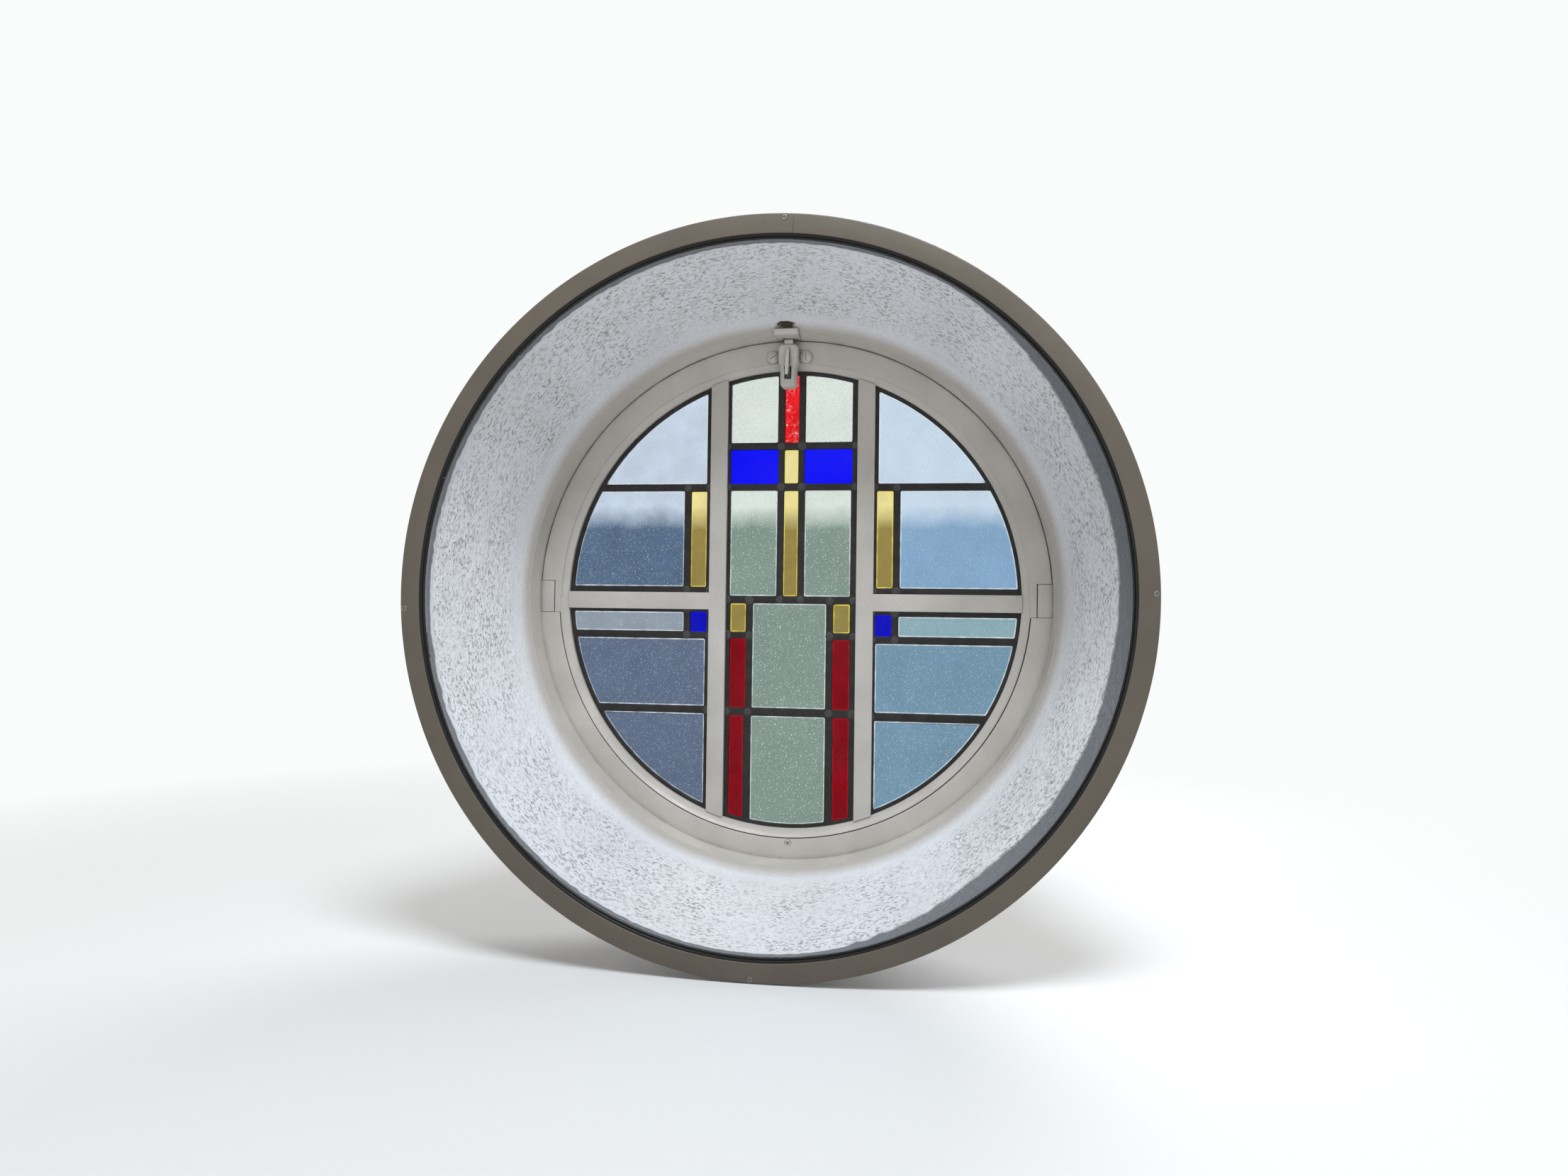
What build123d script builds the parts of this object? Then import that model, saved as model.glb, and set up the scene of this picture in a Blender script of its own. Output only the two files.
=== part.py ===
from build123d import *
from math import atan, cos, degrees, radians, sin, sqrt
import os

# Round centre-pivot window at the end of a splayed reveal, with an inner pane on its room side.
# Millimetres. +Y points outdoors, +Z up. The origin is the middle of the pivot axis, which runs along X.

# Room ring, screwed to the wall round the reveal
RING_R = 500.0
RING_W = 26.5
RING_T = 6.0
RING_SCREW_INSET = 5.5
RING_SCREW_ANGLES = (87.1, 0.8, 269.2, 182.6)
RING_SEAM_X = 37.0
RING_SEAM_GAP = 0.4

# Distances along the window's axis
REVEAL_DEPTH = 240.0
FRAME_LIP = 30.0
FRAME_BACK = 12.0

# Inner pane, its edge behind the ring, and the gasket strip in the corner between it and the ring
PANE_LAP = 8.5
PANE_T = 4.0
GASKET_W = 6.5
GASKET_LOW = 2.2
GASKET_HIGH = 4.4

# Reveal lining
LINING_LAP = 4.0
LINING_STEP = 2.0
LINING_STRAIGHT = 19.0
COVE_W = 19.5
COVE_LENGTH = 34.0
COVE_SAG = 3.2

# Outer frame
FRAME_R = 425.0
FRAME_W = 38.0
FRAME_FLARE = 4.5

# Sash
SASH_T = 36.0
SASH_PLAY = 1.2
SASH_W = 42.5
BEVEL_W = 12.2
BEVEL_DROP = 5.0
REBATE_W = 6.7
SHOULDER_T = 7.0
STOP_PLAY = 1.5
FACE_PLAY = 0.5

# Bars
BAR_W = 25.5
BAR_LEFT_X = -109.0
BAR_RIGHT_X = 114.5
CROSSBAR_Z = -5.0
BAR_FACE_DROP = 4.0
BAR_BACK_DROP = 6.0
BAR_REBATE = 6.5
BAR_EASE = 1.0

# The gap left where one piece is seated in another
SEAT = 0.1

# Pivots
PIVOT_BLOCK_D = 22.0
PIVOT_BLOCK_HALF = 23.3
PIVOT_GAP = 1.1
PIN_R = 5.0
PIN_REACH = 13.0
PIN_IN_FRAME = 18.0
PIN_END_GAP = 1.0
BUSH_WALL = 3.0
PIN_PLAY = 0.05

# Countersunk screws
COUNTERSINK = 90
RING_HEAD_R = 3.9
RING_SHANK_R = 2.2
RING_THREAD_R = 2.0
RING_SCREW_L = 32.0
STOP_HEAD_R = 4.5
STOP_SHANK_R = 2.2
STOP_SCREW_L = 16.0
STOP_SCREW_X = 4.4
STOP_SCREW_INSET = 6.4

# Leaded panels
LEAD_T = 6.5
LEAD_INSET = 1.0
LEAD_RIM_W = 5.3
GLASS_T = 3.2
TUCK = 3.6
GLASS_PLAY = 0.1
PUTTY_T = 9.0
PUTTY_W = 8.0
PUTTY_EDGE = 1.0

# Latch, its heights measured down from the head of its case
LATCH_X = -1.5
CASE_INSET = 6.8
CASE_L = 65.0
CASE_WAIST_DROP = 34.0
CASE_WAIST_RISE = 8.0
CASE_HALF = 15.0
CASE_FOOT_HALF = 11.8
CASE_DEPTH = 18.0
CASE_WALL = 4.5
CASE_CORNER = 4.0
CASE_EDGE = 2.0
LUG_SPREAD = 25.0
LUG_DROP = 17.6
LUG_R = 9.2
LUG_T = 4.0
LUG_NECK_HALF = 6.0
LATCH_HEAD_R = 6.6
LATCH_HEAD_T = 1.6
LATCH_SHANK_R = 2.5
BOLT_HALF = 6.3
BOLT_T = 9.4
BOLT_PLAY = 0.3
BOLT_TAIL_DROP = 31.0
BOLT_TIP_PLAY = 0.5
BOLT_TRAVEL = 8.0
FIN_HALF = 2.2
FIN_REACH = 14.0
FIN_TOP_DROP = 7.0
FIN_TOP_T = 2.0
FIN_FOOT_DROP = 49.0
FIN_FOOT_SLOPE = 8.0
FIN_ROOT = 1.0
WIDE_SLOT_HALF = 5.3
SLOT_FOOT_DROP = 53.0
SPRING_SEAT_DROP = 56.0
SPRING_R = 2.9
SPRING_WIRE = 0.9
SPRING_TURNS = 5
SPRING_SIDES = 8
KEEP_HALF = 18.0
KEEP_RISE = 13.0
KEEP_FRONT = 14.0
KEEP_NOSE = 4.5
KEEP_NECK = 0.9
KEEP_SLOT_HALF = 8.0
KEEP_SLOT_TOP = 2.0
KEEP_PLAY = 0.7

# Worked out from the sizes above
wall_y = -REVEAL_DEPTH
ring_front_y = wall_y - RING_T
pane_back_y = wall_y + PANE_T
throat_y = pane_back_y + LINING_STRAIGHT
face_y = -SASH_T / 2
back_y = SASH_T / 2
frame_front_y = face_y - FRAME_LIP
frame_back_y = back_y + FRAME_BACK
cove_y = frame_front_y - COVE_LENGTH
ring_bore_r = RING_R - RING_W
pane_r = ring_bore_r + PANE_LAP
lining_bore_r = ring_bore_r - GASKET_W
lining_head_r = pane_r + LINING_LAP
lining_foot_r = FRAME_R - LINING_STEP
frame_bore_r = FRAME_R - FRAME_W
flare_r = frame_bore_r + FRAME_FLARE
cove_start_r = flare_r + COVE_W
frame_seat_r = frame_bore_r - SEAT
sash_r = frame_bore_r - SASH_PLAY
sash_sight_r = sash_r - SASH_W
bevel_r = sash_sight_r + BEVEL_W
rebate_r = sash_sight_r + REBATE_W
shoulder_y = face_y + BEVEL_DROP + SHOULDER_T
stop_r = bevel_r + STOP_PLAY
ring_hole_r = RING_R - RING_SCREW_INSET
bar_face_y = face_y + BAR_FACE_DROP
bar_back_y = back_y - BAR_BACK_DROP
lead_front_y = shoulder_y + SEAT
lead_back_y = lead_front_y + LEAD_T
lead_r = rebate_r - LEAD_INSET
arc_light_r = sash_sight_r - LEAD_RIM_W
glass_back_y = lead_back_y - (LEAD_T - GLASS_T) / 2
putty_back_y = lead_back_y + PUTTY_T
block_r = sqrt(PIVOT_BLOCK_HALF**2 + (SASH_T / 2) ** 2)
pocket_r = block_r + PIVOT_GAP
pivot_block_x = frame_bore_r - PIVOT_BLOCK_D
pocket_x = pivot_block_x - PIVOT_GAP
pin_tip_x = pocket_x - PIN_REACH
pin_end_x = frame_bore_r + PIN_IN_FRAME
bush_bore_r = PIN_R + PIN_PLAY
bush_r = bush_bore_r + BUSH_WALL
sash_sweep_r = sqrt(sash_r**2 + (SASH_T / 2) ** 2)
keep_foot_z = sash_sweep_r + KEEP_PLAY
keep_top_z = frame_bore_r + KEEP_RISE
keep_front_y = frame_front_y - KEEP_FRONT
case_front_y = face_y - CASE_DEPTH
case_top_z = sash_r - CASE_INSET
case_waist_z = case_top_z - CASE_WAIST_DROP
case_foot_z = case_top_z - CASE_L
lug_z = case_top_z - LUG_DROP
slot_foot_z = case_top_z - SLOT_FOOT_DROP
spring_seat_z = case_top_z - SPRING_SEAT_DROP
bolt_tail_z = case_top_z - BOLT_TAIL_DROP
bolt_front_y = case_front_y + CASE_WALL + BOLT_PLAY
bolt_back_y = bolt_front_y + BOLT_T
bolt_middle_y = (bolt_front_y + bolt_back_y) / 2
bolt_tip_z = keep_foot_z - BOLT_TIP_PLAY
fin_outside_y = case_front_y - BOLT_PLAY
fin_front_y = case_front_y - FIN_REACH
fin_top_z = case_top_z - FIN_TOP_DROP
fin_foot_z = case_top_z - FIN_FOOT_DROP

FAR = 2 * RING_R

# A revolved profile is drawn with its radius along X and its depth along Y. Half rings start from one side.
lower_half = Plane.XY
upper_half = Plane((0, 0, 0), x_dir=(-1, 0, 0), z_dir=(0, 0, -1))

# The clear openings of the leads: left, right, foot and head of each. FAR runs on to the sash's arc.
LIGHTS = {
    "centre": {
        "clear": [
            (-92.0, -20.2, 236.0, FAR),
            (22.0, 92.8, 236.0, FAR),
            (-91.8, -19.8, 3.6, 163.2),
            (22.2, 91.8, 3.6, 163.2),
            (-55.6, 56.4, -165.2, -7.8),
            (-56.5, 56.5, -FAR, -177.5),
        ],
        "red": [
            (-9.8, 12.2, 235.4, FAR),
            (-90.2, -65.6, -165.6, -61.6),
            (66.8, 92.0, -165.6, -61.6),
            (-90.0, -68.0, -FAR, -177.7),
            (68.2, 92.1, -FAR, -177.7),
        ],
        "blue": [(-92.4, -19.2, 173.4, 225.4), (21.0, 93.4, 173.4, 225.4)],
        "yellow": [
            (-9.6, 11.4, 174.2, 224.6),
            (-9.8, 12.0, 3.6, 162.6),
            (-90.2, -66.2, -51.1, -8.2),
            (67.0, 91.8, -51.1, -8.2),
        ],
    },
    "top_left": {
        "clear": [(-FAR, -129.2, 173.8, FAR), (-FAR, -163.8, 17.0, 163.0)],
        "yellow": [(-153.4, -128.6, 16.6, 162.0)],
    },
    "top_right": {
        "clear": [(132.6, FAR, 173.0, FAR), (165.8, FAR, 16.8, 161.8)],
        "yellow": [(130.8, 155.3, 16.8, 161.8)],
    },
    "bottom_left": {
        "clear": [
            (-FAR, -162.9, -51.5, -22.3),
            (-FAR, -129.0, -164.6, -62.6),
            (-FAR, -128.7, -FAR, -176.0),
        ],
        "blue": [(-152.2, -127.2, -51.9, -21.8)],
    },
    "bottom_right": {
        "clear": [
            (164.4, FAR, -54.8, -25.5),
            (130.3, FAR, -168.3, -66.0),
            (130.0, FAR, -FAR, -180.6),
        ],
        "blue": [(130.1, 153.7, -55.0, -23.5)],
    },
}

# The four edges of each opening between the bars
left_bar_left = BAR_LEFT_X - BAR_W / 2
left_bar_right = BAR_LEFT_X + BAR_W / 2
right_bar_left = BAR_RIGHT_X - BAR_W / 2
right_bar_right = BAR_RIGHT_X + BAR_W / 2
crossbar_foot = CROSSBAR_Z - BAR_W / 2
crossbar_head = CROSSBAR_Z + BAR_W / 2
APERTURES = {
    "centre": (left_bar_right, right_bar_left, -FAR, FAR),
    "top_left": (-FAR, left_bar_left, crossbar_head, FAR),
    "top_right": (right_bar_right, FAR, crossbar_head, FAR),
    "bottom_left": (-FAR, left_bar_left, -FAR, crossbar_foot),
    "bottom_right": (right_bar_right, FAR, -FAR, crossbar_foot),
}


def at_depth(y):
    """The plane square to the window's axis at depth y, facing the room."""
    return Plane.XZ.offset(-y)


def sideways(x, side):
    """The plane square to the pivot axis at distance x, facing away from the middle."""
    return Plane((side * x, 0, 0), z_dir=(side, 0, 0))


def on_circle(radius, angle):
    """A point of a circle about the window's axis, in the plane of at_depth."""
    return (radius * cos(radians(angle)), radius * sin(radians(angle)))


def save(piece, name):
    """Labels a piece and writes its file."""
    piece.label = name
    export_step(piece, f"parts/{name}.step")


def window_outline(edges, grow, arc_r):
    """The part of a disc that lies between four straight edges, each moved out by grow."""
    left, right, foot, head = edges
    middle = ((left + right) / 2, (foot + head) / 2)
    with BuildSketch() as outline:
        Circle(arc_r)
        with Locations(middle):
            Rectangle(right - left + 2 * grow, head - foot + 2 * grow, mode=Mode.INTERSECT)
    return outline.sketch


def flat_head_screw(seat, head_r, shank_r, length):
    """A countersunk screw. Its head is flush with the seat, which faces the room."""
    with BuildPart() as screw:
        with Locations(seat):
            Cone(shank_r, head_r, head_r - shank_r, align=(Align.CENTER, Align.CENTER, Align.MAX))
            Cylinder(shank_r, length, align=(Align.CENTER, Align.CENTER, Align.MAX))
    return screw.part


def make_room_ring():
    """Flat painted ring with one butt seam and four countersunk screw holes."""
    with BuildPart() as ring:
        with BuildSketch(at_depth(wall_y)):
            Circle(RING_R)
            Circle(ring_bore_r, mode=Mode.SUBTRACT)
        extrude(amount=RING_T)
        with Locations(at_depth(ring_front_y)):
            with Locations(*[on_circle(ring_hole_r, angle) for angle in RING_SCREW_ANGLES]):
                CounterSinkHole(RING_SHANK_R + SEAT, RING_HEAD_R + SEAT, counter_sink_angle=COUNTERSINK)
        with Locations((RING_SEAM_X, wall_y, (RING_R + ring_bore_r) / 2)):
            Box(RING_SEAM_GAP, 3 * RING_T, 2 * (RING_R - ring_bore_r), mode=Mode.SUBTRACT)
    save(ring.part, "room_ring")


def make_ring_screws():
    """The four screws of the room ring: a plain shank through the ring, and a thinner thread behind it."""
    with BuildPart() as screws:
        for angle in RING_SCREW_ANGLES:
            across, up = on_circle(ring_hole_r, angle)
            seat = at_depth(ring_front_y) * Pos(across, up)
            add(flat_head_screw(seat, RING_HEAD_R, RING_SHANK_R, RING_T))
            with Locations(seat):
                Cylinder(RING_THREAD_R, RING_SCREW_L, align=(Align.CENTER, Align.CENTER, Align.MAX))
    save(screws.part, "ring_screws")


def make_ring_gasket():
    """Black rubber strip inside the ring, its face sloping down to the pane."""
    with BuildPart() as gasket:
        with BuildSketch(Plane.XY):
            with BuildLine():
                Polyline(
                    (lining_bore_r, wall_y),
                    (lining_bore_r, wall_y - GASKET_LOW),
                    (ring_bore_r - SEAT, wall_y - GASKET_HIGH),
                    (ring_bore_r - SEAT, wall_y),
                    close=True,
                )
            make_face()
        revolve(axis=Axis.Y)
    save(gasket.part, "ring_gasket")


def make_inner_pane():
    """Clear disc clamped between the ring and the shoulder of the lining."""
    with BuildPart() as pane:
        with BuildSketch(at_depth(pane_back_y)):
            Circle(pane_r)
        extrude(amount=PANE_T)
    save(pane.part, "inner_pane")


def make_reveal_lining():
    """Plaster reveal: a shoulder for the pane, a short straight throat, a splay and a cove at the frame."""
    cove_r = (cove_start_r + flare_r) / 2 + COVE_SAG
    with BuildPart() as lining:
        with BuildSketch(Plane.XY):
            with BuildLine():
                Polyline(
                    (lining_head_r, pane_back_y),
                    (lining_bore_r, pane_back_y),
                    (lining_bore_r, throat_y),
                    (cove_start_r, cove_y),
                    (cove_r, (cove_y + frame_front_y) / 2 + COVE_SAG),
                    (flare_r, frame_front_y),
                    (lining_foot_r, frame_front_y),
                    close=True,
                )
            make_face()
        revolve(axis=Axis.Y)
    save(lining.part, "reveal_lining")


def make_outer_frame():
    """Turned ring. Its bore flares towards the room, and it is let in for the keep and bored for the pins."""
    mortise_back_y = bolt_back_y + BOLT_PLAY
    with BuildPart() as frame:
        with BuildSketch(Plane.XY):
            with BuildLine():
                Polyline(
                    (flare_r, frame_front_y),
                    (frame_bore_r, face_y),
                    (frame_bore_r, frame_back_y),
                    (FRAME_R, frame_back_y),
                    (FRAME_R, frame_front_y),
                    close=True,
                )
            make_face()
        revolve(axis=Axis.Y)
        with Locations((LATCH_X, (frame_front_y + mortise_back_y) / 2, 0)):
            Box(
                2 * (KEEP_HALF + SEAT),
                mortise_back_y - frame_front_y,
                keep_top_z + SEAT,
                align=(Align.CENTER, Align.CENTER, Align.MIN),
                mode=Mode.SUBTRACT,
            )
        for side in (-1, 1):
            with Locations(sideways(0, side)):
                Cylinder(
                    PIN_R + SEAT,
                    pin_end_x,
                    align=(Align.CENTER, Align.CENTER, Align.MIN),
                    mode=Mode.SUBTRACT,
                )
    save(frame.part, "outer_frame")


def half_stop(start, front, back):
    """Half a ring bead between two depths, cut back round both pivots."""
    with BuildPart() as bead:
        with BuildSketch(start):
            with Locations(((stop_r + frame_seat_r) / 2, (front + back) / 2)):
                Rectangle(frame_seat_r - stop_r, back - front)
        revolve(axis=Axis.Y, revolution_arc=180)
        with Locations(Plane.YZ):
            Cylinder(pocket_r, 2 * FAR, mode=Mode.SUBTRACT)
    return bead.part


def make_stops():
    """The two stop beads. They change side at the pivots, so that the sash can turn one way only."""
    seat = at_depth(face_y) * Pos(STOP_SCREW_X, -(stop_r + STOP_SCREW_INSET))
    with BuildPart() as inner_stop:
        add(half_stop(lower_half, face_y, -FACE_PLAY))
        with Locations(seat):
            CounterSinkHole(STOP_SHANK_R + SEAT, STOP_HEAD_R + SEAT, counter_sink_angle=COUNTERSINK)
    save(inner_stop.part, "inner_stop")
    save(flat_head_screw(seat, STOP_HEAD_R, STOP_SHANK_R, STOP_SCREW_L), "stop_screw")
    save(half_stop(upper_half, FACE_PLAY, back_y), "outer_stop")


def make_pivots():
    """A block each side, filling the sash's notch, with a pin through it into a bush in the sash."""
    for side, name in ((-1, "pivot_block_left"), (1, "pivot_block_right")):
        with BuildPart() as block:
            with BuildSketch(at_depth(back_y)):
                Circle(frame_seat_r)
                with Locations((side * (pivot_block_x + RING_R) / 2, 0)):
                    Rectangle(RING_R - pivot_block_x, 2 * PIVOT_BLOCK_HALF, mode=Mode.INTERSECT)
            extrude(amount=SASH_T)
            with Locations(sideways(0, side)):
                Cylinder(PIN_R + SEAT, 2 * FAR, mode=Mode.SUBTRACT)
        save(block.part, name)
    pin_length = pin_end_x - PIN_END_GAP - pin_tip_x
    with BuildPart() as pins:
        with Locations(sideways(pin_tip_x, -1), sideways(pin_tip_x, 1)):
            Cylinder(PIN_R, pin_length, align=(Align.CENTER, Align.CENTER, Align.MIN))
    save(pins.part, "pivot_pins")
    with BuildPart() as bushes:
        with Locations(sideways(pin_tip_x, -1), sideways(pin_tip_x, 1)):
            Cylinder(bush_r, PIN_REACH, align=(Align.CENTER, Align.CENTER, Align.MIN))
        with Locations(Plane.YZ):
            Cylinder(bush_bore_r, 2 * FAR, mode=Mode.SUBTRACT)
    save(bushes.part, "pivot_bushes")


def make_sash_ring():
    """Sash ring: a bevelled core all round, an upper flange on the room side and a lower one on the outer side."""
    with BuildPart() as ring:
        with BuildSketch(Plane.XY):
            with BuildLine():
                Polyline(
                    (sash_sight_r, face_y + BEVEL_DROP),
                    (bevel_r, face_y),
                    (bevel_r, back_y),
                    (rebate_r, back_y),
                    (rebate_r, shoulder_y),
                    (sash_sight_r, shoulder_y),
                    close=True,
                )
            make_face()
        revolve(axis=Axis.Y)
        for start, front, back in ((upper_half, face_y, 0.0), (lower_half, 0.0, back_y)):
            with BuildSketch(start):
                with Locations(((bevel_r + sash_r) / 2, (front + back) / 2)):
                    Rectangle(sash_r - bevel_r, back - front)
            revolve(axis=Axis.Y, revolution_arc=180)
        for radius, start_x in ((pocket_r, pocket_x), (bush_r + SEAT, pin_tip_x - SEAT)):
            with Locations(sideways(start_x, -1), sideways(start_x, 1)):
                Cylinder(radius, RING_R, align=(Align.CENTER, Align.CENTER, Align.MIN), mode=Mode.SUBTRACT)
    save(ring.part, "sash_ring")


def bar(edges, tongue_edges, name):
    """A glazing bar: a face strip with a narrower tongue behind it, both scribed to the sash ring."""
    with BuildPart() as strip:
        with BuildSketch(at_depth(shoulder_y)):
            add(window_outline(edges, 0, sash_sight_r - SEAT))
        extrude(amount=shoulder_y - bar_face_y)
        front = strip.faces().sort_by(Axis.Y)[0]
        chamfer(front.edges().filter_by(GeomType.LINE), BAR_EASE)
        with BuildSketch(at_depth(bar_back_y)):
            add(window_outline(tongue_edges, 0, rebate_r - SEAT))
        extrude(amount=bar_back_y - shoulder_y)
    save(strip.part, name)


def make_bars():
    """Two upright bars and the two short crossbars that meet them."""
    for middle, name in ((BAR_LEFT_X, "bar_left"), (BAR_RIGHT_X, "bar_right")):
        face = (middle - BAR_W / 2, middle + BAR_W / 2, -FAR, FAR)
        tongue = (face[0] + BAR_REBATE, face[1] - BAR_REBATE, -FAR, FAR)
        bar(face, tongue, name)
    foot = crossbar_foot + BAR_REBATE
    head = crossbar_head - BAR_REBATE
    left_end = left_bar_left - SEAT
    right_end = right_bar_right + SEAT
    bar((-FAR, left_end, crossbar_foot, crossbar_head), (-FAR, left_end + BAR_REBATE, foot, head), "crossbar_left")
    bar((right_end, FAR, crossbar_foot, crossbar_head), (right_end - BAR_REBATE, FAR, foot, head), "crossbar_right")


def make_leads(panel):
    """One soldered lead net: clear through each light, with a groove round it for the glass."""
    lights = [light for group in LIGHTS[panel].values() for light in group]
    with BuildPart() as net:
        with BuildSketch(at_depth(lead_back_y)):
            add(window_outline(APERTURES[panel], BAR_REBATE - LEAD_INSET, lead_r))
            for light in lights:
                add(window_outline(light, 0, arc_light_r), mode=Mode.SUBTRACT)
        extrude(amount=LEAD_T)
        with BuildSketch(at_depth(glass_back_y + GLASS_PLAY)):
            for light in lights:
                add(window_outline(light, TUCK + GLASS_PLAY, arc_light_r + TUCK + GLASS_PLAY))
        extrude(amount=GLASS_T + 2 * GLASS_PLAY, mode=Mode.SUBTRACT)
    save(net.part, f"leads_{panel}")


def make_glass(panel, colour):
    """The pieces of glass of one colour in one panel, their edges tucked into the leads."""
    with BuildPart() as glass:
        with BuildSketch(at_depth(glass_back_y)):
            for light in LIGHTS[panel][colour]:
                add(window_outline(light, TUCK, arc_light_r + TUCK))
        extrude(amount=GLASS_T)
    save(glass.part, f"glass_{panel}_{colour}")


def make_putty():
    """The sloping putty fillets round the outside of the five panels."""
    slope = degrees(atan((PUTTY_W - PUTTY_EDGE) / PUTTY_T))
    with BuildPart() as fillets:
        for edges in APERTURES.values():
            with BuildSketch(at_depth(putty_back_y)):
                add(window_outline(edges, BAR_REBATE - SEAT, rebate_r - SEAT))
            extrude(amount=PUTTY_T)
            with BuildSketch(at_depth(putty_back_y)):
                add(window_outline(edges, BAR_REBATE - PUTTY_EDGE, rebate_r - PUTTY_EDGE))
            extrude(amount=PUTTY_T, taper=slope, mode=Mode.SUBTRACT)
    save(fillets.part, "glazing_putty")


def make_latch_body():
    """Cast case with two round lugs, a bolt channel open at its head, and a slot for the fin that widens below."""
    outline = [
        (CASE_HALF - CASE_CORNER, case_top_z),
        (CASE_HALF, case_top_z - CASE_CORNER),
        (CASE_HALF, case_waist_z + CASE_WAIST_RISE),
        (CASE_FOOT_HALF, case_waist_z),
        (CASE_FOOT_HALF, case_foot_z + CASE_CORNER),
        (CASE_FOOT_HALF - CASE_CORNER, case_foot_z),
    ]
    right_edge = [(LATCH_X + across, z) for across, z in outline]
    left_edge = [(LATCH_X - across, z) for across, z in reversed(outline)]
    lugs = [(LATCH_X - LUG_SPREAD, lug_z), (LATCH_X + LUG_SPREAD, lug_z)]
    with BuildPart() as body:
        with BuildSketch(at_depth(face_y)):
            with BuildLine():
                Polyline(*right_edge, *left_edge, close=True)
            make_face()
        extrude(amount=CASE_DEPTH)
        front = body.faces().sort_by(Axis.Y)[0]
        chamfer(front.edges(), CASE_EDGE)
        with BuildSketch(at_depth(face_y)):
            with Locations((LATCH_X, lug_z)):
                Rectangle(2 * LUG_SPREAD, 2 * LUG_NECK_HALF)
            with Locations(*lugs):
                Circle(LUG_R)
        extrude(amount=LUG_T)
        with BuildSketch(at_depth(face_y)):
            with Locations(*lugs):
                Circle(LATCH_SHANK_R + SEAT)
        extrude(amount=LUG_T, mode=Mode.SUBTRACT)
        with Locations((LATCH_X, bolt_middle_y, spring_seat_z)):
            Box(
                2 * (BOLT_HALF + BOLT_PLAY),
                BOLT_T + 2 * BOLT_PLAY,
                case_top_z,
                align=(Align.CENTER, Align.CENTER, Align.MIN),
                mode=Mode.SUBTRACT,
            )
        for half_width, top in ((FIN_HALF + BOLT_PLAY, fin_top_z), (WIDE_SLOT_HALF, case_waist_z)):
            with Locations((LATCH_X, case_front_y, slot_foot_z)):
                Box(
                    2 * half_width,
                    2 * (CASE_WALL + BOLT_PLAY),
                    top - slot_foot_z,
                    align=(Align.CENTER, Align.CENTER, Align.MIN),
                    mode=Mode.SUBTRACT,
                )
    save(body.part, "latch_body")


def make_latch_screws():
    """Two low round heads on the lugs, with their shanks."""
    with BuildPart() as screws:
        for across in (-LUG_SPREAD, LUG_SPREAD):
            with Locations(at_depth(face_y - LUG_T) * Pos(LATCH_X + across, lug_z)):
                Cylinder(LATCH_HEAD_R, LATCH_HEAD_T, align=(Align.CENTER, Align.CENTER, Align.MIN))
                Cylinder(LATCH_SHANK_R, LUG_T, align=(Align.CENTER, Align.CENTER, Align.MAX))
    save(screws.part, "latch_screws")


def make_latch_bolt():
    """Sliding bolt with a swept thumb fin that stands out through the case's slot."""
    neck_foot = bolt_tail_z + FIN_ROOT
    neck_head = fin_top_z - BOLT_TRAVEL - FIN_ROOT
    root_y = bolt_front_y + FIN_ROOT
    with BuildPart() as bolt:
        with BuildSketch(at_depth(bolt_back_y)):
            with Locations((LATCH_X, (bolt_tail_z + bolt_tip_z) / 2)):
                Rectangle(2 * BOLT_HALF, bolt_tip_z - bolt_tail_z)
        extrude(amount=BOLT_T)
        with BuildSketch(Plane.YZ.offset(LATCH_X - FIN_HALF)):
            with BuildLine():
                Polyline(
                    (fin_outside_y - FIN_TOP_T, fin_top_z),
                    (fin_outside_y, fin_top_z),
                    (fin_outside_y, neck_head),
                    (root_y, neck_head),
                    (root_y, neck_foot),
                    (fin_outside_y, neck_foot),
                    (fin_outside_y, fin_foot_z + FIN_FOOT_SLOPE),
                    (fin_front_y, fin_foot_z),
                )
                TangentArc((fin_front_y, fin_foot_z), (fin_outside_y - FIN_TOP_T, fin_top_z), tangent=(0, 1))
            make_face()
        extrude(amount=2 * FIN_HALF)
    save(bolt.part, "latch_bolt")


def make_latch_spring():
    """Compression spring of square wire between the case's foot and the bolt's tail."""
    steps = SPRING_SIDES * SPRING_TURNS
    foot_z = spring_seat_z + SPRING_WIRE / 2 + SEAT
    head_z = bolt_tail_z - SPRING_WIRE / 2 - SEAT
    points = []
    for step in range(steps + 1):
        across, deep = on_circle(SPRING_R, 360 * step / SPRING_SIDES)
        points.append((LATCH_X + across, bolt_middle_y + deep, foot_z + (head_z - foot_z) * step / steps))
    with BuildPart() as spring:
        with BuildLine() as coil:
            Polyline(*points)
        with BuildSketch(Plane(coil.line @ 0, z_dir=coil.line % 0)):
            Rectangle(SPRING_WIRE, SPRING_WIRE)
        sweep(transition=Transition.RIGHT)
    save(spring.part, "latch_spring")


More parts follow.
